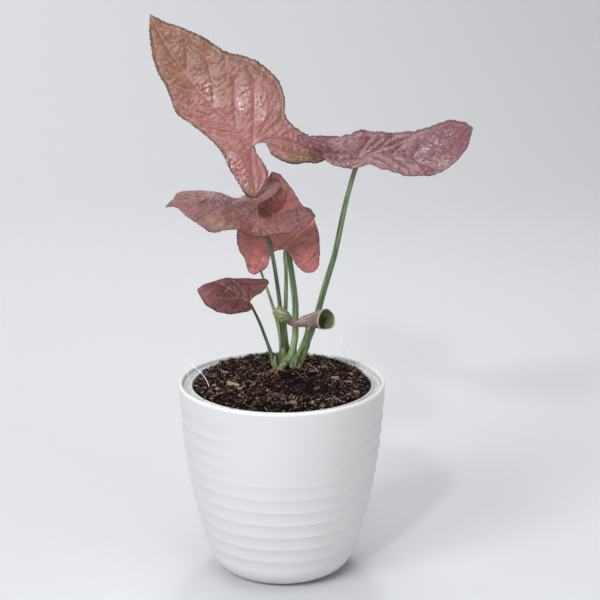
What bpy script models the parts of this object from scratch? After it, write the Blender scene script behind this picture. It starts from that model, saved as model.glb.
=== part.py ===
"""Pink-leaved arrowhead plant in a grow pot, standing in a white ribbed cover pot.

The frame is metric with +Z up. The origin is the centre of the cover pot's base, and the
view that the plant turns its leaves to is along +Y. Leaf outlines are in millimetres in each
leaf's own plane: the first number runs along the midrib from the stalk to the tip, and the
second runs across it.
"""
import math
import random

import bmesh
import bpy
import numpy as np
from mathutils import Vector

MM = 0.001
GAP = 0.0003
ROUND_STEPS = 40

# Cover pot
POT_HEIGHT = 0.130
POT_RIM_RADIUS = 0.068
POT_WALL = 0.0024
POT_FLOOR = 0.003
POT_TAPER = (0.050, 0.200, 0.105)
POT_FOOT_ROUND = 0.0125
RIDGE_COUNT = 11
RIDGE_FIRST_BELOW_RIM = 0.0135
RIDGE_PITCH = 0.00935
FLUTE_DEPTH = 0.0006

# Grow pot
GROW_RIM_RADIUS = 0.0603
GROW_BASE_RADIUS = 0.0375
GROW_WALL = 0.0012
GROW_TOP = 0.128
GROW_LIP_REACH = 0.0043
GROW_LIP_DROP = 0.0011
GROW_BASE = POT_FLOOR + GAP
GROW_SLOPE = (GROW_RIM_RADIUS - GROW_BASE_RADIUS) / (GROW_TOP - GROW_BASE)
DRAIN_HOLES = 6
DRAIN_RADIUS = 0.003
DRAIN_CIRCLE = 0.026

# Potting mix
SOIL_EDGE_HEIGHT = 0.1265
SOIL_MOUND = 0.0070
SOIL_BACK_RISE = 0.0025
SOIL_LUMP = 0.0008
SOIL_RING_RADII = (7, 14, 21, 28, 34, 40, 46, 51, 55)

# Crown
CROWN_CENTRE = (0.0025, 0.0075)
CROWN_HALF_WIDTHS = (0.0125, 0.0095)
CROWN_TOP = 0.1385
CROWN_ROOT_DEPTH = 0.014

# Lifting loops, from the hole in the grow pot's lip to the end pushed 3 mm into the mix, in mm
LOOP_LEFT = [(-62.0, 8.0, 127.2), (-62.6, 8.5, 133.0), (-62.4, 8.0, 138.5), (-61.0, 6.5, 140.5),
             (-58.7, 4.0, 138.7), (-55.3, 0.5, 136.8), (-50.9, -8.2, 135.3), (-48.1, -15.6, 133.0),
             (-47.1, -18.2, 131.0), (-47.0, -18.8, 126.8)]
LOOP_RIGHT = [(50.6, 36.6, 127.2), (50.4, 37.6, 131.0), (48.4, 38.2, 136.5), (45.5, 38.5, 142.4),
              (42.4, 38.5, 146.3), (39.9, 38.0, 148.8), (39.6, 37.6, 145.5), (40.8, 37.0, 140.9),
              (43.4, 35.8, 135.5), (46.2, 33.4, 131.0), (46.8, 33.0, 129.0), (46.8, 33.0, 124.8)]
LOOP_RADIUS = 0.0004
LOOP_HOLE_RADIUS = 0.0009

BLADE_THICKNESS = 0.0008
SEED = 7


def clear_scene():
    for item in list(bpy.data.objects):
        bpy.data.objects.remove(item, do_unlink=True)


def new_collection(name):
    group = bpy.data.collections.new(name)
    bpy.context.scene.collection.children.link(group)
    return group


def make_material(name, colour, roughness, metallic=0.0, alpha=1.0):
    material = bpy.data.materials.new(name)
    material.use_nodes = True
    shader = material.node_tree.nodes["Principled BSDF"]
    shader.inputs["Base Color"].default_value = (*colour, 1.0)
    shader.inputs["Roughness"].default_value = roughness
    shader.inputs["Metallic"].default_value = metallic
    shader.inputs["Alpha"].default_value = alpha
    return material


def add_object(name, mesh, group, material):
    item = bpy.data.objects.new(name, mesh)
    group.objects.link(item)
    if material is not None:
        mesh.materials.clear()
        mesh.materials.append(material)
    return item


def apply_modifiers(item):
    """Replace an object's mesh with its evaluated mesh."""
    bpy.context.view_layer.update()
    evaluated = item.evaluated_get(bpy.context.evaluated_depsgraph_get())
    mesh = bpy.data.meshes.new_from_object(evaluated)
    item.modifiers.clear()
    item.data = mesh


def smooth_curve(points, count):
    """Points at even steps along a smooth curve through the given points."""
    given = np.array(points, dtype=float)
    padded = np.vstack([2 * given[0] - given[1], given, 2 * given[-1] - given[-2]])
    fine = []
    for index in range(len(given) - 1):
        before, start, end, after = padded[index:index + 4]
        for step in np.linspace(0.0, 1.0, 16, endpoint=False):
            bend = 2 * before - 5 * start + 4 * end - after
            twist = 3 * start - before - 3 * end + after
            fine.append(start + 0.5 * (step * (end - before) + step ** 2 * bend + step ** 3 * twist))
    fine.append(given[-1])
    fine = np.array(fine)
    lengths = np.concatenate([[0.0], np.cumsum(np.linalg.norm(np.diff(fine, axis=0), axis=1))])
    places = np.linspace(0.0, lengths[-1], count)
    return np.stack([np.interp(places, lengths, fine[:, axis]) for axis in range(fine.shape[1])], axis=1)


def turned(name, profile, group, material, steps):
    """A solid turned about Z from (radius, height) points that run down its outer side."""
    mesh = bpy.data.meshes.new(name)
    corners = [(radius, 0.0, height) for radius, height in profile]
    mesh.from_pydata(corners, [(i, i + 1) for i in range(len(corners) - 1)], [])
    item = add_object(name, mesh, group, material)
    screw = item.modifiers.new("turn", "SCREW")
    screw.axis = "Z"
    screw.steps = steps
    screw.render_steps = steps
    screw.use_merge_vertices = True
    screw.merge_threshold = 0.00001
    screw.use_smooth_shade = True
    apply_modifiers(item)
    return item


def pot_radius(height):
    """Radius of the cover pot's plain outer side, with its rounded foot."""
    down = 1.0 - height / POT_HEIGHT
    radius = POT_RIM_RADIUS * (1.0 - sum(k * down ** (n + 1) for n, k in enumerate(POT_TAPER)))
    if height < POT_FOOT_ROUND:
        reach = 1.0 - height / POT_FOOT_ROUND
        radius -= POT_FOOT_ROUND * (1.0 - math.sqrt(1.0 - reach ** 2))
    return radius


def cover_pot(group):
    material = make_material("white_plastic", (0.80, 0.80, 0.81), 0.45)
    profile = [(0.0, POT_FLOOR)]
    for height in (POT_FLOOR, 0.008, 0.016, 0.040, 0.070, 0.100, POT_HEIGHT - POT_WALL / 2):
        profile.append((pot_radius(height) - POT_WALL, height))
    for turn in (135, 90, 45):
        angle = math.radians(turn)
        middle = POT_RIM_RADIUS - POT_WALL / 2
        lift = POT_WALL / 2 * math.sin(angle)
        profile.append((middle + POT_WALL / 2 * math.cos(angle), POT_HEIGHT - POT_WALL / 2 + lift))
    profile.append((pot_radius(POT_HEIGHT - POT_WALL / 2), POT_HEIGHT - POT_WALL / 2))
    for half in range(2 * RIDGE_COUNT - 1):
        height = POT_HEIGHT - RIDGE_FIRST_BELOW_RIM - half * RIDGE_PITCH / 2
        depth = FLUTE_DEPTH if half % 2 else 0.0
        profile.append((pot_radius(height) - depth, height))
    for height in (0.0155, 0.0120, 0.0085, 0.0050, 0.0025, 0.0008, 0.0):
        profile.append((pot_radius(height), height))
    profile.append((0.0, 0.0))
    return turned("cover_pot", profile, group, material, ROUND_STEPS)


def cut(item, cutters):
    for cutter in cutters:
        knife = item.modifiers.new("cut", "BOOLEAN")
        knife.operation = "DIFFERENCE"
        knife.solver = "EXACT"
        knife.object = cutter
    apply_modifiers(item)
    for cutter in cutters:
        bpy.data.objects.remove(cutter, do_unlink=True)


def rod_cutter(place, radius, depth, group, sides=12, squeeze=1.0):
    """An upright rod, centred on place, that cuts a plain hole."""
    mesh = bpy.data.meshes.new("cutter")
    shape = bmesh.new()
    bmesh.ops.create_cone(shape, cap_ends=True, segments=sides, radius1=radius, radius2=radius, depth=depth)
    bmesh.ops.scale(shape, vec=(1.0, squeeze, 1.0), verts=shape.verts)
    bmesh.ops.translate(shape, vec=place, verts=shape.verts)
    shape.to_mesh(mesh)
    shape.free()
    cutter = add_object("cutter", mesh, group, None)
    cutter.hide_render = True
    cutter.display_type = "WIRE"
    return cutter


def grow_pot(group, cutters):
    material = make_material("milky_plastic", (0.60, 0.62, 0.64), 0.35)
    slope = GROW_SLOPE
    lip_top = GROW_TOP - GROW_WALL
    profile = [
        (0.0, GROW_BASE + GROW_WALL),
        (GROW_BASE_RADIUS - GROW_WALL + slope * GROW_WALL, GROW_BASE + GROW_WALL),
        (GROW_RIM_RADIUS - GROW_WALL, GROW_TOP),
        (GROW_RIM_RADIUS, GROW_TOP),
        (GROW_RIM_RADIUS + 0.0004, lip_top),
        (GROW_RIM_RADIUS + GROW_LIP_REACH, lip_top - 0.0002),
        (GROW_RIM_RADIUS + GROW_LIP_REACH, lip_top - GROW_LIP_DROP),
        (GROW_RIM_RADIUS - slope * 0.0025, lip_top - GROW_LIP_DROP),
        (GROW_BASE_RADIUS, GROW_BASE),
        (0.0, GROW_BASE),
    ]
    item = turned("grow_pot", profile, group, material, ROUND_STEPS)
    holes = []
    for index in range(DRAIN_HOLES):
        angle = 2 * math.pi * index / DRAIN_HOLES
        place = (DRAIN_CIRCLE * math.cos(angle), DRAIN_CIRCLE * math.sin(angle), GROW_BASE)
        holes.append(rod_cutter(place, DRAIN_RADIUS, 0.008, cutters, sides=10))
    cut(item, holes)
    return item


def soil_height(x, y):
    """Height of the potting mix, which is heaped and a little higher at the back."""
    rim = GROW_RIM_RADIUS - GROW_WALL
    out = min(1.0, math.hypot(x, y) / rim)
    return SOIL_EDGE_HEIGHT + (SOIL_MOUND + SOIL_BACK_RISE * y / rim) * (1.0 - out ** 6)


def potting_soil(group, cutters):
    material = make_material("peat", (0.035, 0.022, 0.017), 0.95)
    rim = GROW_RIM_RADIUS - GROW_WALL - GROW_SLOPE * (GROW_TOP - SOIL_EDGE_HEIGHT) - GAP
    base = GROW_BASE_RADIUS - GROW_WALL
    floor = GROW_BASE + GROW_WALL + GAP
    profile = [(0.0, SOIL_EDGE_HEIGHT)]
    profile += [(radius * MM, SOIL_EDGE_HEIGHT) for radius in SOIL_RING_RADII]
    profile += [(rim, SOIL_EDGE_HEIGHT), (base, floor), (0.0, floor)]
    item = turned("potting_soil", profile, group, material, ROUND_STEPS)
    random.seed(SEED)
    for corner in item.data.vertices:
        x, y, z = corner.co
        if z > SOIL_EDGE_HEIGHT - 0.001:
            lump = random.uniform(-1.0, 1.0) * SOIL_LUMP if math.hypot(x, y) < rim - 0.002 else 0.0
            corner.co.z = soil_height(x, y) + lump
    x, y = CROWN_CENTRE
    wide, deep = (half + GAP for half in CROWN_HALF_WIDTHS)
    tools = [rod_cutter((x, y, CROWN_TOP - CROWN_ROOT_DEPTH + 0.010), wide, 0.020 + 2 * GAP, cutters, 24,
                        deep / wide)]
    for path in (LOOP_LEFT, LOOP_RIGHT):
        x, y, z = (value * MM for value in path[-1])
        tools.append(rod_cutter((x, y, z - GAP + 0.005), LOOP_HOLE_RADIUS, 0.010, cutters, 8))
    cut(item, tools)
    return item


def tube(name, points, radii, group, material, resolution=2):
    """A tapered tube along a path in metres, made a mesh with closed ends."""
    curve = bpy.data.curves.new(name, "CURVE")
    curve.dimensions = "3D"
    curve.bevel_depth = 1.0
    curve.bevel_resolution = resolution
    curve.use_fill_caps = True
    spline = curve.splines.new("POLY")
    spline.points.add(len(points) - 1)
    for corner, place, radius in zip(spline.points, points, radii):
        corner.co = (*place, 1.0)
        corner.radius = radius
    guide = bpy.data.objects.new(name + "_path", curve)
    group.objects.link(guide)
    bpy.context.view_layer.update()
    evaluated = guide.evaluated_get(bpy.context.evaluated_depsgraph_get())
    mesh = bpy.data.meshes.new_from_object(evaluated)
    shape = bmesh.new()
    shape.from_mesh(mesh)
    bmesh.ops.remove_doubles(shape, verts=shape.verts, dist=0.00001)
    bmesh.ops.recalc_face_normals(shape, faces=shape.faces)
    shape.to_mesh(mesh)
    shape.free()
    mesh.shade_smooth()
    mesh.set_sharp_from_angle(angle=math.radians(50))
    bpy.data.objects.remove(guide, do_unlink=True)
    return add_object(name, mesh, group, material)


def lifting_loops(group):
    material = make_material("clear_nylon", (0.80, 0.82, 0.85), 0.25)
    for name, path in (("lift_loop_left", LOOP_LEFT), ("lift_loop_right", LOOP_RIGHT)):
        points = smooth_curve(path, 22) * MM
        tube(name, points, [LOOP_RADIUS] * len(points), group, material, resolution=1)


def crown(group, material):
    """The short thick stem: a root stub in the mix with a low flat top that the stalks stand on."""
    x, y = CROWN_CENTRE
    wide, deep = CROWN_HALF_WIDTHS
    rings = ((0.88, 0.0), (0.96, 0.0015), (0.98, 0.004), (0.85, 0.010), (0.55, CROWN_ROOT_DEPTH))
    profile = [(0.0, CROWN_TOP)]
    profile += [(wide * share, CROWN_TOP - drop) for share, drop in rings]
    profile += [(0.0, CROWN_TOP - CROWN_ROOT_DEPTH)]
    item = turned("crown", profile, group, material, 24)
    for corner in item.data.vertices:
        corner.co.x = x + corner.co.x
        corner.co.y = y + corner.co.y * deep / wide


# Leaf blades. joint is where the stalk meets the blade, and facing is the side it shows, in world
# directions. Each half of a blade has an outer margin from the tip to its lobe's tip, an inner
# margin from there back to the joint, and a lobe vein from the joint towards the lobe's tip.
# belly lifts the middle of the midrib, fold raises or drops the halves from the midrib, and
# lift raises each lobe from the place start along the midrib, over the length reach.
LEAVES = {
    "a": {
        "joint": (-18.6, 16.0, 283.7), "tip": (-85.5, 46.0, 364.9), "facing": (-0.10, -0.93, 0.36),
        "midrib": [(101, 2), (75.5, 5), (45, 5)],
        "left": {
            "outer": [(102.5, 6), (91, 13.5), (78, 19), (63.5, 21.5), (48.5, 26), (39, 24), (26, 20.5),
                      (11, 18.5), (-3, 21), (-20, 23), (-25.5, 22.5)],
            "tip": (-28, 18.5), "vein": [(-12, 9)],
            "inner": [(-26, 12.5), (-24.5, 7), (-19.5, 2.5), (-12, 1.5), (-6, 1)],
            "lift": 0.0, "reach": 30, "start": 0, "curl": -2.0},
        "right": {
            "outer": [(99.5, -4.5), (90.5, -10.5), (75, -18.5), (60, -23.5), (50.5, -31), (40, -36.5),
                      (23.5, -39), (10.5, -34.5), (2.5, -28.5), (-6, -28.5), (-17, -32), (-26, -35),
                      (-33.5, -35.5)],
            "tip": (-37, -32), "vein": [(-4, -11), (-18, -23)],
            "inner": [(-34.5, -25), (-30.5, -20.5), (-27, -14.5), (-22, -10), (-17, -7.5), (-11.5, -6),
                      (-4.5, -7.5), (-1, -4)],
            "lift": 0.0, "reach": 38, "start": 0, "curl": -2.0},
        "width": 35, "belly": -3.0, "peak": 1.0, "fold": 0.10, "rows": 32, "columns": 3,
        "colour": (0.38, 0.16, 0.13)},
    "b": {
        "joint": (49.6, -7.0, 279.9), "tip": (122.2, 7.0, 297.2), "facing": (-0.10, -0.35, 0.93),
        "midrib": [(69, -1), (60, -8), (48.5, -8), (38, -3.5), (24, -0.5), (11.5, 1)],
        "left": {
            "outer": [(72.5, 11.5), (65.5, 22), (56.5, 24.5), (44.5, 25.5), (31.5, 27), (17.5, 27),
                      (11, 29.5), (1.5, 26.5), (-14.5, 24.5), (-26, 22)],
            "tip": (-34, 19), "vein": [(-6, 10), (-20, 14)],
            "inner": [(-33, 12), (-26, 8.5), (-17, 7.5), (-8, 7.5)],
            "lift": 14.0, "reach": 33, "start": 0, "curl": 0.0},
        "right": {
            "outer": [(72, -6.5), (67.5, -12.5), (60, -18), (52.5, -22.5), (39.5, -29.5), (27.5, -34),
                      (17.5, -30), (9, -20), (2, -13), (-9.5, -15), (-16, -13.5), (-21, -8)],
            "tip": (-23.5, 0), "vein": [(-8, -3), (-17, -2)],
            "inner": [(-17, 4), (-8, 3.5)],
            "lift": 8.0, "reach": 25, "start": 0, "curl": 0.0},
        "width": 33, "belly": -11.0, "peak": 1.5, "fold": 0.12, "rows": 24, "columns": 3,
        "colour": (0.30, 0.13, 0.15)},
    "c": {
        "joint": (-15.6, -5.0, 238.5), "tip": (-73.8, -8.0, 248.5), "facing": (0.05, -0.42, 0.90),
        "midrib": [(50, -4), (36, -7), (22, -3), (10, 0.5)],
        "left": {
            "outer": [(52.5, 1.5), (44.5, 11), (36.5, 17.5), (29, 22.5), (20, 19.5), (12, 15), (3.5, 14.5),
                      (-6.5, 12.5), (-16, 9), (-28, 3)],
            "tip": (-36, 1.5), "vein": [(-8, 6), (-20, 4.5)],
            "inner": [(-29.5, 0.5), (-20.5, 0), (-12, 0.5), (-4, 1)],
            "lift": 2.0, "reach": 36, "start": 0, "curl": 0.0},
        "right": {
            "outer": [(56, -6), (52, -14.5), (44.5, -16), (32, -15.5), (22, -16), (14, -15.5), (9.5, -20),
                      (-1, -27), (-7, -29)],
            "tip": (-12, -21.5), "vein": [(4, -9), (-2, -18)],
            "inner": [(-10, -13), (-6.5, -9.5), (0, -6.5), (1.5, -2.5)],
            "lift": 19.0, "reach": 30, "start": 18, "curl": 0.0},
        "width": 25, "belly": 7.0, "peak": 1.0, "fold": -0.15, "rows": 22, "columns": 3,
        "colour": (0.25, 0.11, 0.11)},
    "d": {
        "joint": (2.0, 13.0, 215.2), "tip": (-6.4, 24.0, 265.2), "facing": (0.0, -0.97, 0.15),
        "midrib": [(35, 0.5), (25, 1.5)],
        "left": {
            "outer": [(45.5, 5), (39, 11.5), (31, 19), (22.5, 26), (14, 29.5), (4, 29.5), (-1, 27),
                      (-9.5, 26)],
            "tip": (-13, 22.5), "vein": [(2, 9), (-5, 17)],
            "inner": [(-10.5, 15.5), (-7.5, 12.5), (-3.5, 10.5), (0, 7), (0.5, 2.5)],
            "lift": -2.0, "reach": 18, "start": 0, "curl": -3.0},
        "right": {
            "outer": [(49, -5), (43.5, -8.5), (37.5, -11.5), (31.5, -14), (26.5, -16.5), (18.5, -21.5),
                      (8, -23.5), (-3.5, -22.5), (-14, -20)],
            "tip": (-17.5, -16), "vein": [(-7, -8)],
            "inner": [(-16.5, -10.5), (-11.5, -6), (-5, -3)],
            "lift": -2.0, "reach": 18, "start": 0, "curl": -3.0},
        "width": 25, "belly": 3.0, "peak": 1.0, "fold": 0.12, "rows": 20, "columns": 3,
        "colour": (0.30, 0.085, 0.085)},
    "e": {
        "joint": (-20.2, -8.0, 185.0), "tip": (-53.9, -8.0, 194.8), "facing": (0.10, -0.75, 0.65),
        "midrib": [(27, -6.5), (16.5, -5.5), (5.5, -2)],
        "left": {
            "outer": [(34.5, 2.5), (29, 10), (23.5, 13), (18, 14), (12, 13.5), (7, 11), (1, 7.5)],
            "tip": (-2, 4), "vein": [],
            "inner": [(-1.2, 1.5)],
            "lift": 0.0, "reach": 14, "start": 0, "curl": 0.0},
        "right": {
            "outer": [(32, -4), (27.5, -6.8), (21.5, -11), (15, -13), (8, -15), (1, -16.5), (-6, -18.5)],
            "tip": (-8.5, -16.5), "vein": [(1, -7), (-4, -13)],
            "inner": [(-6, -10), (-2, -5.5), (0, -2)],
            "lift": 0.0, "reach": 14, "start": 0, "curl": 0.0},
        "width": 14, "belly": 1.0, "peak": 1.0, "fold": 0.15, "rows": 16, "columns": 2,
        "colour": (0.20, 0.06, 0.06)},
}
MARGIN_WAVE_PITCH = 9.0
MARGIN_WAVE = 0.35
EDGE_RIPPLE_PITCH = 21.0
EDGE_RIPPLE = 0.5


def leaf_frame(leaf):
    """The joint, the three directions of a leaf's own frame, and its length from joint to tip."""
    joint = Vector(leaf["joint"])
    along = Vector(leaf["tip"]) - joint
    length = along.length
    along.normalize()
    facing = Vector(leaf["facing"])
    facing = (facing - along * facing.dot(along)).normalized()
    return joint, along, facing.cross(along), facing, length


def blade_height(leaf, length, u, v):
    """How far the blade stands out of its flat plane at a place on it."""
    ribs = [(0.0, 0.0)] + leaf["midrib"][::-1] + [(length, 0.0)]
    across = v - float(np.interp(u, [rib[0] for rib in ribs], [rib[1] for rib in ribs]))
    share = 0.5 + 0.5 * math.tanh(across / 3.0)
    height = leaf["fold"] * (math.sqrt(across * across + 9.0) - 3.0)
    if u > 0.0:
        height += leaf["belly"] * math.sin(math.pi * min(u / length, 1.0) ** leaf["peak"])
    for side, part in (("left", share), ("right", 1.0 - share)):
        half = leaf[side]
        rise = max(half["start"] - u, 0.0) / half["reach"]
        height += part * (half["lift"] * rise ** 1.4 + half["curl"] * (across / leaf["width"]) ** 2)
    return height


def waved(margin, side):
    """The margin moved in and out by a shallow wave that dies away at both ends."""
    steps = np.gradient(margin, axis=0)
    lengths = np.linalg.norm(steps, axis=1)
    outward = np.stack([steps[:, 1], -steps[:, 0]], axis=1) / lengths[:, None]
    outward *= 1.0 if side == "right" else -1.0
    run = np.concatenate([[0.0], np.cumsum(lengths[1:])])
    fade = np.minimum(1.0, np.minimum(run, run[-1] - run) / MARGIN_WAVE_PITCH)
    wave = MARGIN_WAVE * fade * np.sin(2 * math.pi * run / MARGIN_WAVE_PITCH)
    return margin + outward * wave[:, None]


def half_ladders(leaf, side, length):
    """Two ladders of rungs, from the midrib and lobe vein out to the outer and the inner margin."""
    half = leaf[side]
    rib_rows = leaf["rows"]
    midrib = [(length, 0.0)] + leaf["midrib"] + [(0.0, 0.0)]
    vein = [(0.0, 0.0)] + half["vein"] + [half["tip"]]
    vein_length = sum(math.dist(a, b) for a, b in zip(vein, vein[1:]))
    vein_rows = max(3, round(rib_rows * vein_length / length))
    spine = np.vstack([smooth_curve(midrib, rib_rows + 1), smooth_curve(vein, vein_rows + 1)[1:]])
    outer = smooth_curve([(length, 0.0)] + half["outer"] + [half["tip"]], rib_rows + vein_rows + 1)
    inner = smooth_curve([(0.0, 0.0)] + half["inner"][::-1] + [half["tip"]], vein_rows + 1)
    return (spine, waved(outer, side)), (spine[-vein_rows - 1:], inner)


def blade_surface(leaf):
    """An open surface of triangles in the shape of the blade, in metres."""
    joint, along, across, facing, length = leaf_frame(leaf)
    shape = bmesh.new()
    corners = {}

    def corner(place, ripple):
        u, v = place
        key = (round(u, 3), round(v, 3))
        if key not in corners:
            height = blade_height(leaf, length, u, v) + ripple
            corners[key] = shape.verts.new((joint + along * u + across * v + facing * height) * MM)
        return corners[key]

    for side in ("left", "right"):
        for spine, margin in half_ladders(leaf, side, length):
            rungs = []
            for row, (inside, outside) in enumerate(zip(spine, margin)):
                reach = min(1.0, math.dist(inside, outside) / leaf["width"] * 2.0)
                beat = math.sin(2 * math.pi * row * length / leaf["rows"] / EDGE_RIPPLE_PITCH * 1.6)
                rung = []
                for column in range(leaf["columns"] + 1):
                    out = column / leaf["columns"]
                    rung.append(corner(inside + (outside - inside) * out, EDGE_RIPPLE * beat * reach * out ** 2))
                rungs.append(rung)
            for near, far in zip(rungs, rungs[1:]):
                for column in range(leaf["columns"]):
                    a, b, c, d = near[column], near[column + 1], far[column + 1], far[column]
                    for trio in ((a, b, c), (a, c, d)):
                        if len(set(trio)) == 3:
                            shape.faces.new(trio)
    bmesh.ops.recalc_face_normals(shape, faces=shape.faces)
    if sum((face.normal.dot(facing) for face in shape.faces), 0.0) < 0.0:
        bmesh.ops.reverse_faces(shape, faces=shape.faces)
    return shape


def thicken(name, shape, group, material):
    """Give an open surface its thickness, half to each side."""
    mesh = bpy.data.meshes.new(name)
    shape.to_mesh(mesh)
    shape.free()
    item = add_object(name, mesh, group, material)
    wall = item.modifiers.new("thickness", "SOLIDIFY")
    wall.thickness = BLADE_THICKNESS
    wall.offset = 0.0
    apply_modifiers(item)
    item.data.shade_smooth()
    item.data.set_sharp_from_angle(angle=math.radians(60))
    return item


def blades(group):
    for letter, leaf in LEAVES.items():
        material = make_material(f"leaf_{letter}_pink", leaf["colour"], 0.38)
        thicken(f"blade_{letter}", blade_surface(leaf), group, material)


# Leaf F is rolled up lengthwise and open at both ends. Each row is a place on the middle of the
# roll and the roll's radius there, in mm.
ROLL = [(-0.4, -11.0, 177.4, 4.1), (1.2, -8.0, 175.6, 4.0), (4.4, -5.0, 172.7, 2.8), (8.3, -3.5, 169.6, 1.9),
        (11.9, -3.5, 170.1, 2.6), (14.5, -3.6, 171.0, 3.6), (18.4, -4.4, 172.1, 4.2), (22.9, -6.5, 173.2, 5.4),
        (27.1, -11.0, 174.6, 6.4), (28.7, -13.2, 175.3, 6.6)]
ROLL_ROWS = 18
ROLL_SIDES = 12
ROLL_OPEN = 55.0


def rolled_blade(group):
    material = make_material("leaf_f_green", (0.16, 0.17, 0.06), 0.5)
    rows = smooth_curve(ROLL, ROLL_ROWS)
    shape = bmesh.new()
    rings = []
    for index, (x, y, z, radius) in enumerate(rows):
        before = rows[max(index - 1, 0)]
        after = rows[min(index + 1, len(rows) - 1)]
        along = Vector(after[:3] - before[:3]).normalized()
        up = (Vector((0, 0, 1)) - along * along.z).normalized()
        side = along.cross(up)
        ring = []
        for step in range(ROLL_SIDES + 1):
            angle = math.radians(ROLL_OPEN / 2 + (360.0 - ROLL_OPEN) * step / ROLL_SIDES + 20.0)
            place = Vector((x, y, z)) + (up * math.cos(angle) + side * math.sin(angle)) * radius
            ring.append(shape.verts.new(place * MM))
        rings.append(ring)
    for near, far in zip(rings, rings[1:]):
        for step in range(ROLL_SIDES):
            a, b, c, d = near[step], near[step + 1], far[step + 1], far[step]
            shape.faces.new((a, b, c))
            shape.faces.new((a, c, d))
    bmesh.ops.recalc_face_normals(shape, faces=shape.faces)
    thicken("blade_f", shape, group, material)


# Leaf stalks, from just over the crown up to the blade, in mm, each with its radius at the foot,
# a third of the way up and at the top
STALKS = {
    "a": ([(-0.1, 1.2, 139.8), (1.9, 2.2, 141), (4.6, 4, 144.5), (7, 6, 149), (8.4, 8.5, 155.2), (8.9, 11, 161.3),
           (8.9, 13.5, 171), (8.6, 15.5, 180.7), (6.1, 21.5, 199), (4, 24.5, 211), (-0.6, 26.5, 231),
           (-6.5, 28.8, 247.5), (-12.4, 27, 262.5), (-16.8, 22.5, 275)], (2.3, 2.1, 1.3)),
    "b": ([(11.2, 8, 139.8), (12.2, 7.7, 142), (14.8, 7, 148.7), (17.2, 6.5, 155.8), (19.7, 6, 162.8),
           (23.6, 4.5, 175.5), (27.5, 2.5, 191), (31.4, 0.5, 205), (34.6, -1.5, 217.3), (40.1, -4.5, 245.6),
           (43.5, -6, 260.2), (45.9, -6.5, 269.3)], (2.3, 2.1, 1.5)),
    "c": ([(1, 7, 139.8), (1, 6.8, 144), (0.4, 6, 157.3), (-0.7, 4.5, 171.4), (-1.8, 2.5, 185.5),
           (-4.4, -0.5, 205.8), (-7, -2.6, 221), (-9, -3.5, 226.5), (-12.1, -4.3, 232)], (1.6, 1.4, 1.2)),
    "d": ([(3.5, 13.6, 139.8), (3.4, 14, 145.2), (2.8, 14, 152.2), (1.8, 14, 163), (2.2, 14, 173), (2.7, 14.4, 188),
           (2.6, 14.9, 202.6), (2.1, 15.2, 208.5)], (1.7, 1.4, 1.2)),
    "e": ([(-5.2, 5.8, 139.8), (-6.3, 5, 143.8), (-7.9, 3.5, 149.8), (-12.6, -0.5, 164.7), (-15.2, -3, 172.2),
           (-17.9, -5.5, 178.9), (-19.2, -6.6, 182)], (1.7, 1.1, 0.9)),
    "f": ([(7.6, 5, 139.8), (9.1, 4, 142.7), (11.8, 2.2, 150.2), (14.1, -0.5, 157.7), (14.8, -2.6, 162.5)],
          (1.5, 1.2, 1.0)),
}
SHOOT = ([(-1.4, 10.5, 139.8), (-0.7, 10.5, 145), (-0.7, 10.6, 150.4), (-2.1, 11.4, 162), (-5.4, 13, 174.5),
          (-10, 15.8, 188.8), (-13.8, 18.5, 199.3), (-15.4, 19.8, 206)], (1.4, 1.0, 0.6))
STALK_STEP = 7.0


def stalk_tube(name, path, radii, group, material):
    count = max(8, round(sum(math.dist(a, b) for a, b in zip(path, path[1:])) / STALK_STEP))
    points = smooth_curve(path, count)
    widths = np.interp(np.linspace(0.0, 1.0, count), (0.0, 0.33, 1.0), radii)
    foot = (points[0][0], points[0][1], (CROWN_TOP + GAP) / MM)
    points = np.vstack([foot, points]) * MM
    tube(name, points, np.concatenate([widths[:1], widths]) * MM, group, material)


def top_of_stalk(leaf, path, radius):
    """The stalk's last point, set behind the blade so that its end just clears it."""
    joint, _, _, facing, _ = leaf_frame(leaf)
    arriving = (joint - Vector(path[-1])).normalized()
    lean = math.sqrt(max(0.0, 1.0 - arriving.dot(facing) ** 2))
    return joint - facing * (BLADE_THICKNESS / MM / 2 + GAP / MM + radius * lean)


def stalks(group, material):
    for letter, (path, radii) in STALKS.items():
        if letter in LEAVES:
            path = path + [tuple(top_of_stalk(LEAVES[letter], path, radii[-1]))]
        else:
            x, y, z, roll = ROLL[5]
            path = path + [(x, y, z - roll - BLADE_THICKNESS / MM / 2 - 2 * GAP / MM)]
        stalk_tube(f"stalk_{letter}", path, radii, group, material)
    stalk_tube("new_shoot", SHOOT[0], SHOOT[1], group, make_material("shoot_green", (0.27, 0.36, 0.16), 0.45))


def build():
    clear_scene()
    parts = new_collection("arrowhead_plant")
    cutters = new_collection("cutters")
    cover_pot(parts)
    grow_pot(parts, cutters)
    potting_soil(parts, cutters)
    lifting_loops(parts)
    stem_green = make_material("stem_green", (0.15, 0.24, 0.10), 0.45)
    crown(parts, stem_green)
    stalks(parts, stem_green)
    blades(parts)
    rolled_blade(parts)


build()
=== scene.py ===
"""Pink-leaved arrowhead plant in a white ribbed cover pot: the looks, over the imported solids."""
import math
import random

import bpy
import numpy as np
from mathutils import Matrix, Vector, noise


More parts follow.
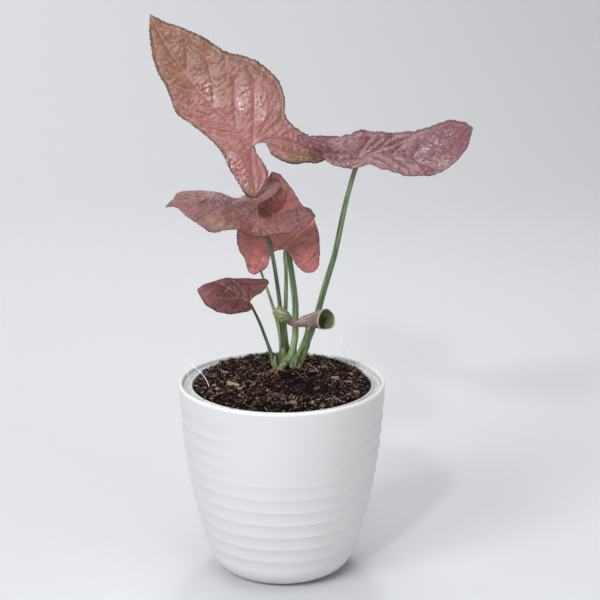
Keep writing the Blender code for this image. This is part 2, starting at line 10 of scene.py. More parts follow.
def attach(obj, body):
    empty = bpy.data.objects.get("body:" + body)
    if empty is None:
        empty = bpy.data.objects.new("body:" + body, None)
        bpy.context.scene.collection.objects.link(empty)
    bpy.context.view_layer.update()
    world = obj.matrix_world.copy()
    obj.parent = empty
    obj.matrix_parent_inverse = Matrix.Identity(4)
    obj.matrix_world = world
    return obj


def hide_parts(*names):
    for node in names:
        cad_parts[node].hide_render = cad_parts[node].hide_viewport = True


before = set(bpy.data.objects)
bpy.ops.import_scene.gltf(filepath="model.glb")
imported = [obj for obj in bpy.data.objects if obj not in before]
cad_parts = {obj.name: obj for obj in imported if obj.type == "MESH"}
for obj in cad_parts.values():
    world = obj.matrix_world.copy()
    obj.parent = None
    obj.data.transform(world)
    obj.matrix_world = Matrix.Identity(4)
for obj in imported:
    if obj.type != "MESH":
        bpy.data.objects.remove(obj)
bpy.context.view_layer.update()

# The studio. The camera stands a metre away, looking slightly down along +Y. The floor is one
# pale sheet that curves up behind the plant. The light comes from four soft panels, two small
# lamps that make the glints, and the room around.
def put_in(name, data):
    """Put a camera, lamp, curve or mesh into the scene."""
    item = bpy.data.objects.new(name, data)
    bpy.context.scene.collection.objects.link(item)
    return item


def choose(*items):
    """Select these objects and no others, with the first one active."""
    for item in bpy.context.selected_objects:
        item.select_set(False)
    for item in items:
        item.select_set(True)
    bpy.context.view_layer.objects.active = items[0]


def edit(item):
    """Go into edit mode on one object, with all of it selected."""
    choose(item)
    bpy.ops.object.mode_set(mode="EDIT")
    bpy.ops.mesh.select_all(action="SELECT")


def edit_done():
    bpy.ops.object.mode_set(mode="OBJECT")


camera_data = bpy.data.cameras.new("camera")
camera_data.lens = 98.8
camera_data.sensor_width = 36.0
camera_data.clip_start = 0.05
camera = put_in("camera", camera_data)
camera.location = (0.0119, -1.0355, 0.4640)
camera.rotation_euler = (math.radians(90.0 - 15.09), 0.0, 0.0)
bpy.context.scene.camera = camera

FLOOR_WIDTH, FLOOR_DEPTH, FLOOR_MIDDLE = 16.0, 9.2, -3.4
CURVE_STEPS, CURVE_STEP, WALL_HEIGHT = 12, 0.12, 3.5
bpy.ops.mesh.primitive_plane_add(size=1.0, location=(0.0, 0.0, 0.0))
floor = bpy.context.object
floor.name = "floor"
edit(floor)
bpy.ops.transform.resize(value=(FLOOR_WIDTH, FLOOR_DEPTH, 1.0))
bpy.ops.transform.translate(value=(0.0, FLOOR_MIDDLE, 0.0))
edit_done()
for corner in floor.data.vertices:
    corner.select = corner.co.y > 0.0
for edge in floor.data.edges:
    edge.select = all(floor.data.vertices[end].co.y > 0.0 for end in edge.vertices)
bpy.ops.object.mode_set(mode="EDIT")
bpy.ops.mesh.select_mode(type="EDGE")
for step in range(CURVE_STEPS):
    tilt = math.radians(90.0 * (step + 0.5) / CURVE_STEPS)
    bpy.ops.mesh.extrude_region_move(TRANSFORM_OT_translate={
        "value": (0.0, CURVE_STEP * math.cos(tilt), CURVE_STEP * math.sin(tilt))})
bpy.ops.mesh.extrude_region_move(TRANSFORM_OT_translate={"value": (0.0, 0.0, WALL_HEIGHT)})
bpy.ops.mesh.select_mode(type="VERT")
edit_done()
floor.data.shade_smooth()

paper = bpy.data.materials.new("pale_paper")
paper.use_nodes = True
paper_shader = paper.node_tree.nodes["Principled BSDF"]
paper_shader.inputs["Base Color"].default_value = (0.80, 0.81, 0.83, 1.0)
paper_shader.inputs["Roughness"].default_value = 0.9
floor.data.materials.append(paper)

# Each light is its name, its place, the spot it points at, its size, its power and its colour
LIGHTS = [
    ("window_panel", (-1.25, -1.25, 1.15), (0.0, 0.0, 0.2), 0.8, 19.0, (0.95, 0.97, 1.0)),
    ("ceiling_panel", (0.1, -0.15, 1.7), (0.0, 0.0, 0.2), 1.1, 9.0, (1.0, 0.99, 0.97)),
    ("right_panel", (1.1, -1.3, 0.50), (0.0, 0.0, 0.2), 0.9, 6.5, (1.0, 0.98, 0.97)),
    ("wall_panel", (-0.9, 1.3, 1.7), (-0.6, 2.6, 0.1), 1.3, 12.0, (1.0, 0.99, 1.0)),
    ("glint_lamp", (-0.50, -1.45, 1.30), (-0.03, 0.0, 0.30), 0.12, 8.0, (1.0, 1.0, 1.0)),
    ("back_lamp", (0.05, 0.85, 1.25), (0.05, 0.0, 0.25), 0.24, 3.2, (1.0, 1.0, 1.0)),
]
for name, place, aim, size, power, colour in LIGHTS:
    lamp_data = bpy.data.lights.new(name, "AREA")
    lamp_data.shape = "SQUARE"
    lamp_data.size = size
    lamp_data.energy = power
    lamp_data.color = colour
    lamp = put_in(name, lamp_data)
    lamp.location = place
    lamp.rotation_euler = (Vector(aim) - Vector(place)).to_track_quat("-Z", "Y").to_euler()
room = bpy.data.worlds.new("room")
room.use_nodes = True
room.node_tree.nodes["Background"].inputs["Color"].default_value = (0.95, 0.97, 1.0, 1.0)
room.node_tree.nodes["Background"].inputs["Strength"].default_value = 0.33
bpy.context.scene.world = room
bpy.context.scene.view_settings.view_transform = "Standard"


# Cover pot: one moulded shell of white plastic, 136 mm across the rim. Eleven level ridges run
# round it with a shallow flute under each, and fade out on its plain front panel. It is turned
# here from its half section.
class Flow:
    """A value or colour on its way through a material's nodes. Sums of values add Math nodes."""

    def __init__(self, finish, socket):
        self.finish = finish
        self.socket = socket

    def maths(self, operation, first, second):
        return self.finish.node("ShaderNodeMath", {"operation": operation}, {0: first, 1: second})

    def __add__(self, other):
        return self.maths("ADD", self, other)

    def __sub__(self, other):
        return self.maths("SUBTRACT", self, other)

    def __mul__(self, other):
        return self.maths("MULTIPLY", self, other)

    def __truediv__(self, other):
        return self.maths("DIVIDE", self, other)

    def __radd__(self, other):
        return self.maths("ADD", other, self)

    def __rsub__(self, other):
        return self.maths("SUBTRACT", other, self)

    def __rmul__(self, other):
        return self.maths("MULTIPLY", other, self)


class Finish:
    """One material and the nodes that make its colour, gloss and grain. A colour is three values."""

    def __init__(self, name, **sockets):
        self.material = bpy.data.materials.new(name)
        self.material.use_nodes = True
        self.tree = self.material.node_tree
        self.shader = self.tree.nodes["Principled BSDF"]
        self.show(**sockets)

    def show(self, **sockets):
        """Set or feed sockets of the shader itself."""
        self.feed(self.shader, {key.replace("_", " "): value for key, value in sockets.items()})

    def feed(self, node, sockets):
        for key, value in sockets.items():
            if isinstance(value, Flow):
                self.tree.links.new(value.socket, node.inputs[key])
            elif node.inputs[key].type == "RGBA":
                node.inputs[key].default_value = (*value, 1.0)
            else:
                node.inputs[key].default_value = value

    def node(self, kind, settings, sockets, output=0):
        node = self.tree.nodes.new(kind)
        for key, value in settings.items():
            if key == "stops":
                made = node.color_ramp.elements
                for index, (place, colour) in enumerate(value):
                    stop = made[index] if index < 2 else made.new(place)
                    stop.position = place
                    stop.color = (*colour, 1.0)
            else:
                setattr(node, key, value)
        self.feed(node, sockets)
        return Flow(self, node.outputs[output])

    def place(self):
        """Where a point of the piece lies in the object's frame, in metres."""
        return self.node("ShaderNodeTexCoord", {}, {}, "Object")

    def reading(self, name, output="Fac"):
        """A value that the piece's mesh carries."""
        return self.node("ShaderNodeAttribute", {"attribute_name": name}, {}, output)

    def part(self, vector, axis):
        """One of a vector's three values."""
        return self.node("ShaderNodeSeparateXYZ", {}, {"Vector": vector}, axis)

    def stretched(self, vector, *scale):
        """A vector with each of its values scaled, to draw grain out into streaks."""
        return self.node("ShaderNodeMapping", {}, {"Vector": vector, "Scale": scale})

    def grain(self, where, scale, detail=3.0, roughness=0.5):
        return self.node("ShaderNodeTexNoise", {}, {"Vector": where, "Scale": scale, "Detail": detail,
                                                    "Roughness": roughness})

    def between(self, value, low, high):
        """0 below low, 1 above high, with a soft step between."""
        return self.node("ShaderNodeMapRange", {"interpolation_type": "SMOOTHSTEP"},
                         {"Value": value, "From Min": low, "From Max": high})

    def mixed(self, share, first, second):
        """One colour going over to another."""
        return self.node("ShaderNodeMix", {"data_type": "RGBA"}, {0: share, 6: first, 7: second}, 2)

    def ramp(self, value, *stops):
        """The colours given at places from 0 to 1, and those between."""
        return self.node("ShaderNodeValToRGB", {"stops": stops}, {"Fac": value})

    def relief(self, height, depth, strength=1.0):
        """Bumps of a height given as 0 to 1, depth metres from low to high."""
        self.show(Normal=self.node("ShaderNodeBump", {}, {"Height": height, "Distance": depth,
                                                          "Strength": strength}))


def half_section(name, points):
    """A chain of edges in the XZ plane, drawn by extruding one point along (radius, height) steps."""
    bpy.ops.mesh.primitive_plane_add(size=0.001, location=(0.0, 0.0, 0.0))
    item = bpy.context.object
    item.name = name
    item.data.name = name
    edit(item)
    bpy.ops.mesh.merge(type="CENTER")
    bpy.ops.transform.translate(value=(points[0][0], 0.0, points[0][1]))
    for here, there in zip(points, points[1:]):
        bpy.ops.mesh.extrude_region_move(
            TRANSFORM_OT_translate={"value": (there[0] - here[0], 0.0, there[1] - here[1])})
    edit_done()
    return item


def clean(item, nearness):
    """Merge corners that lie nearer than this, and turn the faces outward."""
    edit(item)
    bpy.ops.mesh.remove_doubles(threshold=nearness)
    bpy.ops.mesh.normals_make_consistent(inside=False)
    edit_done()
    item.data.shade_smooth()


def turn_round(item, steps):
    """Spin a half section into a closed turned piece."""
    edit(item)
    bpy.ops.mesh.spin(steps=steps, angle=2 * math.pi, center=(0.0, 0.0, 0.0), axis=(0.0, 0.0, 1.0))
    edit_done()
    clean(item, 0.000002)


def settle(item, finishes, slot, *nodes):
    """Give a finished piece the given materials, hang it under the root body and hide the imported nodes it
    stands in for.
    """
    for finish in finishes:
        item.data.materials.append(finish.material)
    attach(item, "root")
    if nodes:
        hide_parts(*nodes)


POT_HEIGHT = 0.130
POT_RIM_RADIUS = 0.068
POT_WALL = 0.0024
POT_FLOOR = 0.003
POT_FOOT_ROUND = 0.0125
RIM_ROUND = 0.1288
RIDGE_TOP = 0.1165
RIDGE_STEP = 0.00935
FLUTE_DEPTH = 0.00075
FLUTES_DOWN = 10.9
PLAIN_ANGLE, PLAIN_FADE = 22.0, 24.0
PLAIN_ROWS, PLAIN_ROWS_FADE = 2.6, 3.4


def pot_radius(height):
    """Radius of the pot's outer side without its grooves."""
    down = 1.0 - height / POT_HEIGHT
    radius = POT_RIM_RADIUS * (1.0 - 0.050 * down - 0.200 * down ** 2 - 0.105 * down ** 3)
    if height < POT_FOOT_ROUND:
        reach = 1.0 - height / POT_FOOT_ROUND
        radius -= POT_FOOT_ROUND * (1.0 - math.sqrt(max(0.0, 1.0 - reach ** 2)))
    return radius


def flute_depth(height, turn):
    """Depth of the flutes under the ridges, which fade out on the plain front panel."""
    below = (RIDGE_TOP - height) / RIDGE_STEP
    if not 0.0 < below < FLUTES_DOWN:
        return 0.0
    way = below - math.floor(below)
    depth = FLUTE_DEPTH * (1.0 - (2.0 * way - 1.0) ** 2)
    off_front = abs((math.degrees(turn) + 90.0 + 180.0) % 360.0 - 180.0)
    side = min(1.0, max(0.0, (off_front - PLAIN_ANGLE) / PLAIN_FADE))
    low = min(1.0, max(0.0, (below - PLAIN_ROWS) / PLAIN_ROWS_FADE))
    return depth * max(side * side * (3.0 - 2.0 * side), low)


section = [(0.0, POT_FLOOR)]
section += [(pot_radius(height) - POT_WALL, height) for height in np.linspace(POT_FLOOR, RIM_ROUND, 40)]
for turn in range(150, 0, -30):
    angle = math.radians(turn)
    section.append((POT_RIM_RADIUS - POT_WALL / 2 * (1.0 - math.cos(angle)),
                    RIM_ROUND + POT_WALL / 2 * math.sin(angle)))
section += [(pot_radius(height), height) for height in (
    RIM_ROUND, 0.126, 0.122, 0.119, *np.linspace(RIDGE_TOP, RIDGE_TOP - 10.0 * RIDGE_STEP, 181),
    0.0215, 0.0200, 0.0185, 0.0170, 0.0155, 0.0140,
    *(POT_FOOT_ROUND * (1.0 - np.sin(np.radians(np.arange(2, 91, 8.0))))))]
section.append((0.0, 0.0))
cover_pot = half_section("cover_pot_shell", section)
turn_round(cover_pot, 160)
for corner in cover_pot.data.vertices:
    radius = math.hypot(corner.co.x, corner.co.y)
    if 0.014 < corner.co.z < RIDGE_TOP + 0.0001 and radius > pot_radius(corner.co.z) - 0.0005:
        shrink = 1.0 - flute_depth(corner.co.z, math.atan2(corner.co.y, corner.co.x)) / radius
        corner.co.x *= shrink
        corner.co.y *= shrink
white = Finish("white_plastic_shell")
spot = white.place()
worn = white.mixed(white.grain(spot, 22.0, 2.0), (0.74, 0.74, 0.75), (0.78, 0.78, 0.785))
# The top millimetre of the rim is painted lighter: a painted highlight along the rim.
rim = white.between(white.part(spot, "Z"), 0.1277, 0.1286)
white.show(Base_Color=white.mixed(rim, worn, (0.94, 0.94, 0.945)),
           Roughness=0.32 + 0.12 * white.grain(spot, 60.0))
white.relief(white.grain(spot, 900.0, 2.0), 0.00002, 0.5)
settle(cover_pot, [white], "white_plastic", "cover_pot")


# Grow pot: the thin milky plastic nursery pot that stands inside the cover pot. Its rolled lip
# shows all round between the mix and the rim, and the wet mix has left marks on it.
GROW_TOP = 0.128
GROW_RIM = 0.0603
GROW_FOOT = 0.0375
GROW_WALL = 0.0012
GROW_BASE = POT_FLOOR + 0.0003
GROW_SLOPE = (GROW_RIM - GROW_FOOT) / (GROW_TOP - GROW_BASE)
section = [(0.0, GROW_BASE + GROW_WALL), (GROW_FOOT - GROW_WALL, GROW_BASE + GROW_WALL)]
section += [(GROW_FOOT - GROW_WALL + GROW_SLOPE * (height - GROW_BASE), height)
            for height in np.linspace(0.010, GROW_TOP - 0.0004, 24)]
section += [(GROW_RIM - GROW_WALL * 0.85, GROW_TOP - 0.0001), (GROW_RIM - GROW_WALL * 0.5, GROW_TOP),
            (GROW_RIM - GROW_WALL * 0.15, GROW_TOP - 0.0001)]
section += [(GROW_RIM + reach, GROW_TOP - fall) for reach, fall in (
    (0.0002, 0.0006), (0.0004, 0.0011), (0.0009, 0.0014), (0.0017, 0.0015), (0.0025, 0.0012),
    (0.0034, 0.0006), (0.0043, 0.0002), (0.0048, 0.0003), (0.0050, 0.0008), (0.0048, 0.0014),
    (0.0038, 0.0018), (0.0020, 0.0026), (0.0004, 0.0027), (-GROW_SLOPE * 0.006, 0.006))]
section += [(GROW_FOOT + 0.0006, GROW_BASE + 0.003), (GROW_FOOT - 0.0004, GROW_BASE), (0.0, GROW_BASE)]
grow_pot = half_section("grow_pot_shell", section)
turn_round(grow_pot, 120)


def change(item, kind, **settings):
    """Put one modifier on a piece and make it part of the mesh."""
    modifier = item.modifiers.new(kind, kind)
    for key, value in settings.items():
        setattr(modifier, key, value)
    choose(item)
    bpy.ops.object.modifier_apply(modifier=kind)


DRAINS, DRAIN_RING, DRAIN_RADIUS = 6, 0.026, 0.003
for index in range(DRAINS):
    angle = 2 * math.pi * index / DRAINS
    bpy.ops.mesh.primitive_cylinder_add(vertices=24, radius=DRAIN_RADIUS, depth=0.008, location=(
        DRAIN_RING * math.cos(angle), DRAIN_RING * math.sin(angle), GROW_BASE))
    drill = bpy.context.object
    change(grow_pot, "BOOLEAN", object=drill, solver="EXACT")
    bpy.data.objects.remove(drill, do_unlink=True)
milky = Finish("milky_plastic_liner")
spot = milky.place()
smear = milky.between(milky.grain(spot, 210.0, 5.0, 0.7), 0.52, 0.70)
clear = milky.mixed(milky.grain(spot, 45.0, 2.0), (0.58, 0.61, 0.60), (0.76, 0.79, 0.78))
milky.show(Base_Color=milky.mixed(0.8 * smear, clear, (0.11, 0.10, 0.095)), Roughness=0.26 + 0.3 * smear)
milky.relief(milky.grain(spot, 500.0), 0.00006, 0.6)
settle(grow_pot, [milky], "milky_plastic", "grow_pot")


# Potting mix: moist dark peat with bark, wood chips and fibres in it, heaped a little and higher
# at the back. The body is one turned solid, and the loose bits lie on and in its surface.
SOIL_EDGE = 0.1265
SOIL_REACH = 0.0591
SOIL_RIM = GROW_RIM - GROW_WALL - GROW_SLOPE * (GROW_TOP - SOIL_EDGE) - 0.0003
SOIL_FOOT = GROW_BASE + GROW_WALL + 0.0004
CROWN_X, CROWN_Y = 0.0025, 0.0075
HEAP_HEIGHT, HEAP_SLOPE = 0.0070, 0.0025
BANK_HEIGHT, BANK_WIDTH, BANK_DEPTH = 0.0043, 0.0175, 0.0140


def heap(x, y):
    """Height of the mix without its lumps, with a low bank round the crown."""
    out = min(1.0, math.hypot(x, y) / SOIL_REACH)
    bank = BANK_HEIGHT * math.exp(-math.hypot((x - CROWN_X) / BANK_WIDTH, (y - CROWN_Y) / BANK_DEPTH) ** 5)
    return SOIL_EDGE + (HEAP_HEIGHT + HEAP_SLOPE * y / SOIL_REACH) * (1.0 - out ** 6) + bank


def lumps(x, y):
    """Rough lumps of the mix, flat against the pot's wall."""
    spot = Vector((x, y, 0.0))
    rough = 0.0013 * noise.noise(spot * 90.0) + 0.0021 * noise.noise(spot * 240.0 + Vector((3, 1, 0)))
    rough += 0.0014 * noise.noise(spot * 620.0 + Vector((0, 5, 2)))
    rough += 0.0013 * (0.5 - noise.voronoi(spot * 420.0)[0][0])
    return rough * min(1.0, max(0.0, (SOIL_RIM - math.hypot(x, y)) / 0.0020))


section = [(radius, SOIL_EDGE) for radius in np.linspace(0.0, SOIL_RIM - 0.0001, 82)]
section += [(SOIL_RIM - GROW_SLOPE * depth, SOIL_EDGE - depth)
            for depth in (0.0006, 0.01, 0.03, 0.06, 0.09)]
section += [(GROW_FOOT - GROW_WALL - 0.0002, SOIL_FOOT), (0.0, SOIL_FOOT)]
soil = half_section("potting_mix", section)
turn_round(soil, 300)
for corner in soil.data.vertices:
    if corner.co.z > SOIL_EDGE - 0.0001:
        corner.co.z = heap(corner.co.x, corner.co.y) + lumps(corner.co.x, corner.co.y)
peat = Finish("dark_peat", Specular_IOR_Level=0.12)
spot = peat.place()
crumb = peat.node("ShaderNodeTexVoronoi", {}, {"Vector": spot, "Scale": 520.0}, "Color")
clod = peat.grain(spot, 300.0, 5.0, 0.7)
dry = peat.between(peat.grain(spot, 38.0, 2.0), 0.40, 0.62)
brown = peat.mixed(peat.between(crumb, 0.2, 0.9), (0.003, 0.0015, 0.0015), (0.016, 0.007, 0.0055))
brown = peat.mixed(peat.between(clod, 0.55, 0.72), brown, (0.060, 0.028, 0.021))
peat.show(Base_Color=peat.mixed(dry, (0.002, 0.0015, 0.0015), brown), Roughness=0.62 + 0.3 * clod)
peat.relief(clod, 0.0009)
settle(soil, [peat], "peat", "potting_soil")

# The loose bits keep off the crown and are darker where the mix is wet
LOOSE_REACH = 0.0575
BARE_WIDTH, BARE_DEPTH = 0.0125, 0.0095
WET_X, WET_Y, WET_WIDTH, WET_DEPTH = 0.012, -0.020, 0.017, 0.015


def carry(mesh, **readings):
    """Give a mesh's corners values for its material to read: one number each, or three."""
    for name, values in readings.items():
        values = np.asarray(values, dtype=np.float32)
        kind, field = ("FLOAT", "value") if values.ndim == 1 else ("FLOAT_VECTOR", "vector")
        mesh.attributes.new(name, kind, "POINT").data.foreach_set(field, values.ravel())


def strew_on_mix(name, finish, model, count, seed, sizes, sink, tilt, placed=(), damp=0.2):
    """One piece of many copies of a small model, strewn over the mix, each with its own tone.

    A placed copy is (x, y, turn in degrees, three sizes, tone), in metres."""
    draw = random.Random(seed)
    corners = np.array([corner.co[:] for corner in model.vertices])
    sides = [list(face.vertices) for face in model.polygons]
    lots = []
    while len(lots) < count:
        x = draw.uniform(-LOOSE_REACH, LOOSE_REACH)
        y = draw.uniform(-LOOSE_REACH, LOOSE_REACH)
        off_crown = math.hypot((x - CROWN_X) / BARE_WIDTH, (y - CROWN_Y) / BARE_DEPTH)
        if math.hypot(x, y) > LOOSE_REACH or off_crown <= 1.0:
            continue
        wet = math.exp(-math.hypot((x - WET_X) / WET_WIDTH, (y - WET_Y) / WET_DEPTH) ** 3)
        lots.append((x, y, draw.uniform(0, 2 * math.pi), draw.gauss(0.0, tilt), draw.gauss(0.0, tilt),
                     [draw.uniform(low, high) for low, high in sizes], draw.random() * (1.0 - damp * wet)))
    for x, y, spin, scale, tone in placed:
        lots.append((x, y, math.radians(spin), draw.gauss(0.0, 0.2), draw.gauss(0.0, 0.2), scale, tone))
    points, faces = [], []
    for x, y, spin, lean, roll, scale, tone in lots:
        leaning = Vector((0, 0, 1)).rotation_difference(Vector((math.sin(roll), math.sin(lean), 1.0)))
        cos, sin = math.cos(spin), math.sin(spin)
        spun = np.array([[cos, -sin, 0], [sin, cos, 0], [0, 0, 1]])
        copy = (corners * scale) @ (np.array(leaning.to_matrix()) @ spun).T
        start = len(points) * len(corners)
        points.append(copy + (x, y, heap(x, y) + lumps(x, y) + sink * scale[2]))
        faces += [[start + end for end in side] for side in sides]
    mesh = bpy.data.meshes.new(name)
    mesh.from_pydata(np.concatenate(points).tolist(), [], faces)
    carry(mesh, tone=np.repeat([lot[-1] for lot in lots], len(corners)))
    settle(put_in(name, mesh), [finish], "peat")


bpy.ops.mesh.primitive_ico_sphere_add(subdivisions=1, radius=0.5)
granule = bpy.context.object
edit(granule)
bpy.ops.transform.vertex_random(offset=0.16, seed=5)
edit_done()
earthy = Finish("peat_crumbs", Specular_IOR_Level=0.15)
fine = earthy.grain(earthy.place(), 900.0, 3.0, 0.6)
brown = earthy.ramp(
    earthy.reading("tone"), (0.0, (0.002, 0.0015, 0.0015)), (0.50, (0.006, 0.003, 0.0025)),
    (0.74, (0.048, 0.021, 0.016)), (1.0, (0.58, 0.36, 0.28)))
earthy.show(Base_Color=earthy.mixed(0.5 * fine, brown, (0.010, 0.006, 0.005)), Roughness=0.6 + 0.35 * fine)
earthy.relief(fine, 0.0003, 0.8)
strew_on_mix("peat_crumbs", earthy, granule.data, 5600, 11,
        ((0.0006, 0.0022), (0.0005, 0.0014), (0.0005, 0.0013)), 0.45, 0.9, damp=0.6)
bpy.data.objects.remove(granule, do_unlink=True)

bpy.ops.mesh.primitive_cube_add(size=1.0)
chip = bpy.context.object
edit(chip)
bpy.ops.mesh.subdivide(number_cuts=1)
bpy.ops.transform.vertex_random(offset=0.19, seed=9)
edit_done()
woody = Finish("wood_chips", Specular_IOR_Level=0.25)
fine = woody.grain(woody.place(), 1400.0, 3.0, 0.6)
wood = woody.ramp(woody.reading("tone"), (0.0, (0.050, 0.022, 0.016)), (0.50, (0.15, 0.070, 0.052)),
                  (0.80, (0.40, 0.25, 0.19)), (1.0, (0.52, 0.40, 0.24)))
woody.show(Base_Color=woody.mixed(0.35 * fine, wood, (0.09, 0.042, 0.028)), Roughness=0.65 + 0.25 * fine)
woody.relief(fine, 0.0002, 0.8)
CHIPS = [
    (-0.0314, -0.0218, -8, (0.0076, 0.0022, 0.0015), 1.0),
    (-0.0264, -0.0266, 32, (0.004, 0.0017, 0.0013), 0.97),
    (-0.0437, -0.0162, 60, (0.0026, 0.0017, 0.001), 0.93),
    (-0.0414, -0.024, -70, (0.0042, 0.0018, 0.0012), 0.92),
    (-0.04, 0.029, -15, (0.0052, 0.0018, 0.0013), 0.7),
    (-0.0377, 0.0037, -40, (0.006, 0.001, 0.001), 0.88),
    (0.024, 0.048, -12, (0.006, 0.0022, 0.0014), 0.78),
    (0.0348, -0.0109, 12, (0.005, 0.0016, 0.0012), 0.9),
    (0.0433, -0.0105, -3, (0.0056, 0.0011, 0.0011), 0.82),
    (0.048, -0.0262, 10, (0.0036, 0.0016, 0.001), 0.8),
    (0.0081, -0.049, 20, (0.003, 0.0022, 0.0013), 0.84),
    (0.0195, -0.048, 60, (0.0032, 0.0018, 0.0012), 0.82),
    (-0.0072, -0.0418, 10, (0.003, 0.0024, 0.0013), 0.6),
    (-0.0034, -0.035, 15, (0.0068, 0.003, 0.0015), 0.52),
    (-0.0504, 0.0117, 40, (0.0026, 0.0015, 0.001), 0.86),
    (-0.0127, -0.0184, 0, (0.0016, 0.0013, 0.001), 0.9)]
strew_on_mix("wood_chips", woody, chip.data, 260, 23,
        ((0.0010, 0.0032), (0.0004, 0.0009), (0.0004, 0.0008)), 0.9, 0.6, placed=CHIPS)
bpy.data.objects.remove(chip, do_unlink=True)

# One fibre is a bent three-sided strand, long in X
STRAND_STEPS = 6
points = []
for index in range(STRAND_STEPS + 1):
    way = index / STRAND_STEPS
    y = 0.30 * math.sin(3.0 * way) + 0.15 * math.sin(7.0 * way)
    z = 0.18 * math.cos(4.0 * way)
    for turn in (0, 120, 240):
        angle = math.radians(turn)
        points.append((way - 0.5, y + 0.5 * math.cos(angle), z + 0.5 * math.sin(angle)))
faces = [(0, 1, 2), tuple(3 * STRAND_STEPS + end for end in (2, 1, 0))]
for ring in range(STRAND_STEPS):
    for side in range(3):
        a, b = 3 * ring + side, 3 * ring + (side + 1) % 3
        faces.append((a, a + 3, b + 3, b))
strand = bpy.data.meshes.new("strand")
strand.from_pydata(points, [], faces)
stringy = Finish("peat_fibres", Roughness=0.75, Specular_IOR_Level=0.2)
stringy.show(Base_Color=stringy.ramp(
    stringy.reading("tone"), (0.0, (0.008, 0.004, 0.003)), (0.50, (0.055, 0.028, 0.021)),
    (0.80, (0.22, 0.135, 0.105)), (1.0, (0.68, 0.56, 0.50))))
strew_on_mix("peat_fibres", stringy, strand, 3000, 37,
        ((0.0014, 0.0052), (0.00018, 0.00046), (0.00016, 0.00042)), 2.8, 0.5)


# Lifting loops: two thin clear nylon loops tied through holes in the grow pot's lip, for lifting
# it out. Each stands up in an arch, and its free end is pushed into the mix.
def even_curve(points, count):
    """Points at even steps along a smooth curve through the given points."""
    given = np.array(points, dtype=float)
    padded = np.vstack([2 * given[0] - given[1], given, 2 * given[-1] - given[-2]])
    fine = []
    for index in range(len(given) - 1):
        before, start, end, after = padded[index:index + 4]
        for step in np.linspace(0.0, 1.0, 16, endpoint=False):
            bend = 2 * before - 5 * start + 4 * end - after
            twist = 3 * start - before - 3 * end + after
            fine.append(start + 0.5 * (step * (end - before) + step ** 2 * bend + step ** 3 * twist))
    fine.append(given[-1])
    fine = np.array(fine)
    lengths = np.concatenate([[0.0], np.cumsum(np.linalg.norm(np.diff(fine, axis=0), axis=1))])
    places = np.linspace(0.0, lengths[-1], count)
    return np.stack([np.interp(places, lengths, fine[:, axis]) for axis in range(fine.shape[1])], axis=1)


LOOP_LEFT = [
    (-62.0, 8.0, 127.2), (-62.6, 8.5, 133.0), (-62.4, 8.0, 138.5), (-61.0, 6.5, 140.5),
    (-58.7, 4.0, 138.7), (-55.3, 0.5, 136.8), (-50.9, -8.2, 135.3), (-48.1, -15.6, 133.0),
    (-47.1, -18.2, 131.0), (-47.0, -18.8, 126.8)]
LOOP_RIGHT = [
    (50.6, 36.6, 127.2), (50.4, 37.6, 131.0), (48.4, 38.2, 136.5), (45.5, 38.5, 142.4),
    (42.4, 38.5, 146.3), (39.9, 38.0, 148.8), (39.6, 37.6, 145.5), (40.8, 37.0, 140.9),
    (43.4, 35.8, 135.5), (46.2, 33.4, 131.0), (46.8, 33.0, 129.0), (46.8, 33.0, 124.8)]


def tube(name, points, radii, sides):
    """A round tube along points in metres, made from a curve with closed ends."""
    curve = bpy.data.curves.new(name, "CURVE")
    curve.dimensions = "3D"
    curve.bevel_depth = 1.0
    curve.bevel_resolution = (sides - 4) // 2
    curve.use_fill_caps = True
    spline = curve.splines.new("POLY")
    spline.points.add(len(points) - 1)
    for corner, where, radius in zip(spline.points, points, radii):
        corner.co = (*where, 1.0)
        corner.radius = radius
    choose(put_in(name, curve))
    bpy.ops.object.convert(target="MESH")
    item = bpy.context.object
    clean(item, 0.000005)
    return item


CORD_RADIUS = 0.00028
# The faint emission is a painted glow on the nylon, standing in for the light the clear cord catches.
nylon = Finish("clear_nylon", Roughness=0.18, Alpha=0.42, Emission_Color=(0.90, 0.91, 1.0),
               Emission_Strength=0.3)
cloud = nylon.grain(nylon.place(), 200.0)
nylon.show(Base_Color=nylon.mixed(cloud, (0.86, 0.86, 0.90), (0.96, 0.96, 0.99)))
for side, path in (("left", LOOP_LEFT), ("right", LOOP_RIGHT)):
    loop = tube("nylon_loop_" + side, even_curve(path, 90) * 0.001, [CORD_RADIUS] * 90, 8)
    settle(loop, [nylon], "clear_nylon", "lift_loop_" + side)


# Crown: the short stem at the surface of the mix. The foot of every stalk widens into a sheath
# there, each one wrapping the next, so that they read as one clump that goes into the mix.
CROWN_RADIUS = 0.0118
CROWN_TOP = 0.1385
CROWN_FLATNESS = 0.76
section = [(CROWN_RADIUS * share, CROWN_TOP - drop) for share, drop in (
    (0.0, 0.0009), (0.50, 0.0008), (0.80, 0.0013), (0.95, 0.0028), (1.00, 0.0046), (0.96, 0.0070),
    (0.86, 0.0095), (0.70, 0.0125), (0.55, 0.0139), (0.0, 0.0140))]
crown = half_section("crown_stem", section)
turn_round(crown, 48)
for corner in crown.data.vertices:
    corner.co.x = CROWN_X + corner.co.x
    corner.co.y = CROWN_Y + corner.co.y * CROWN_FLATNESS

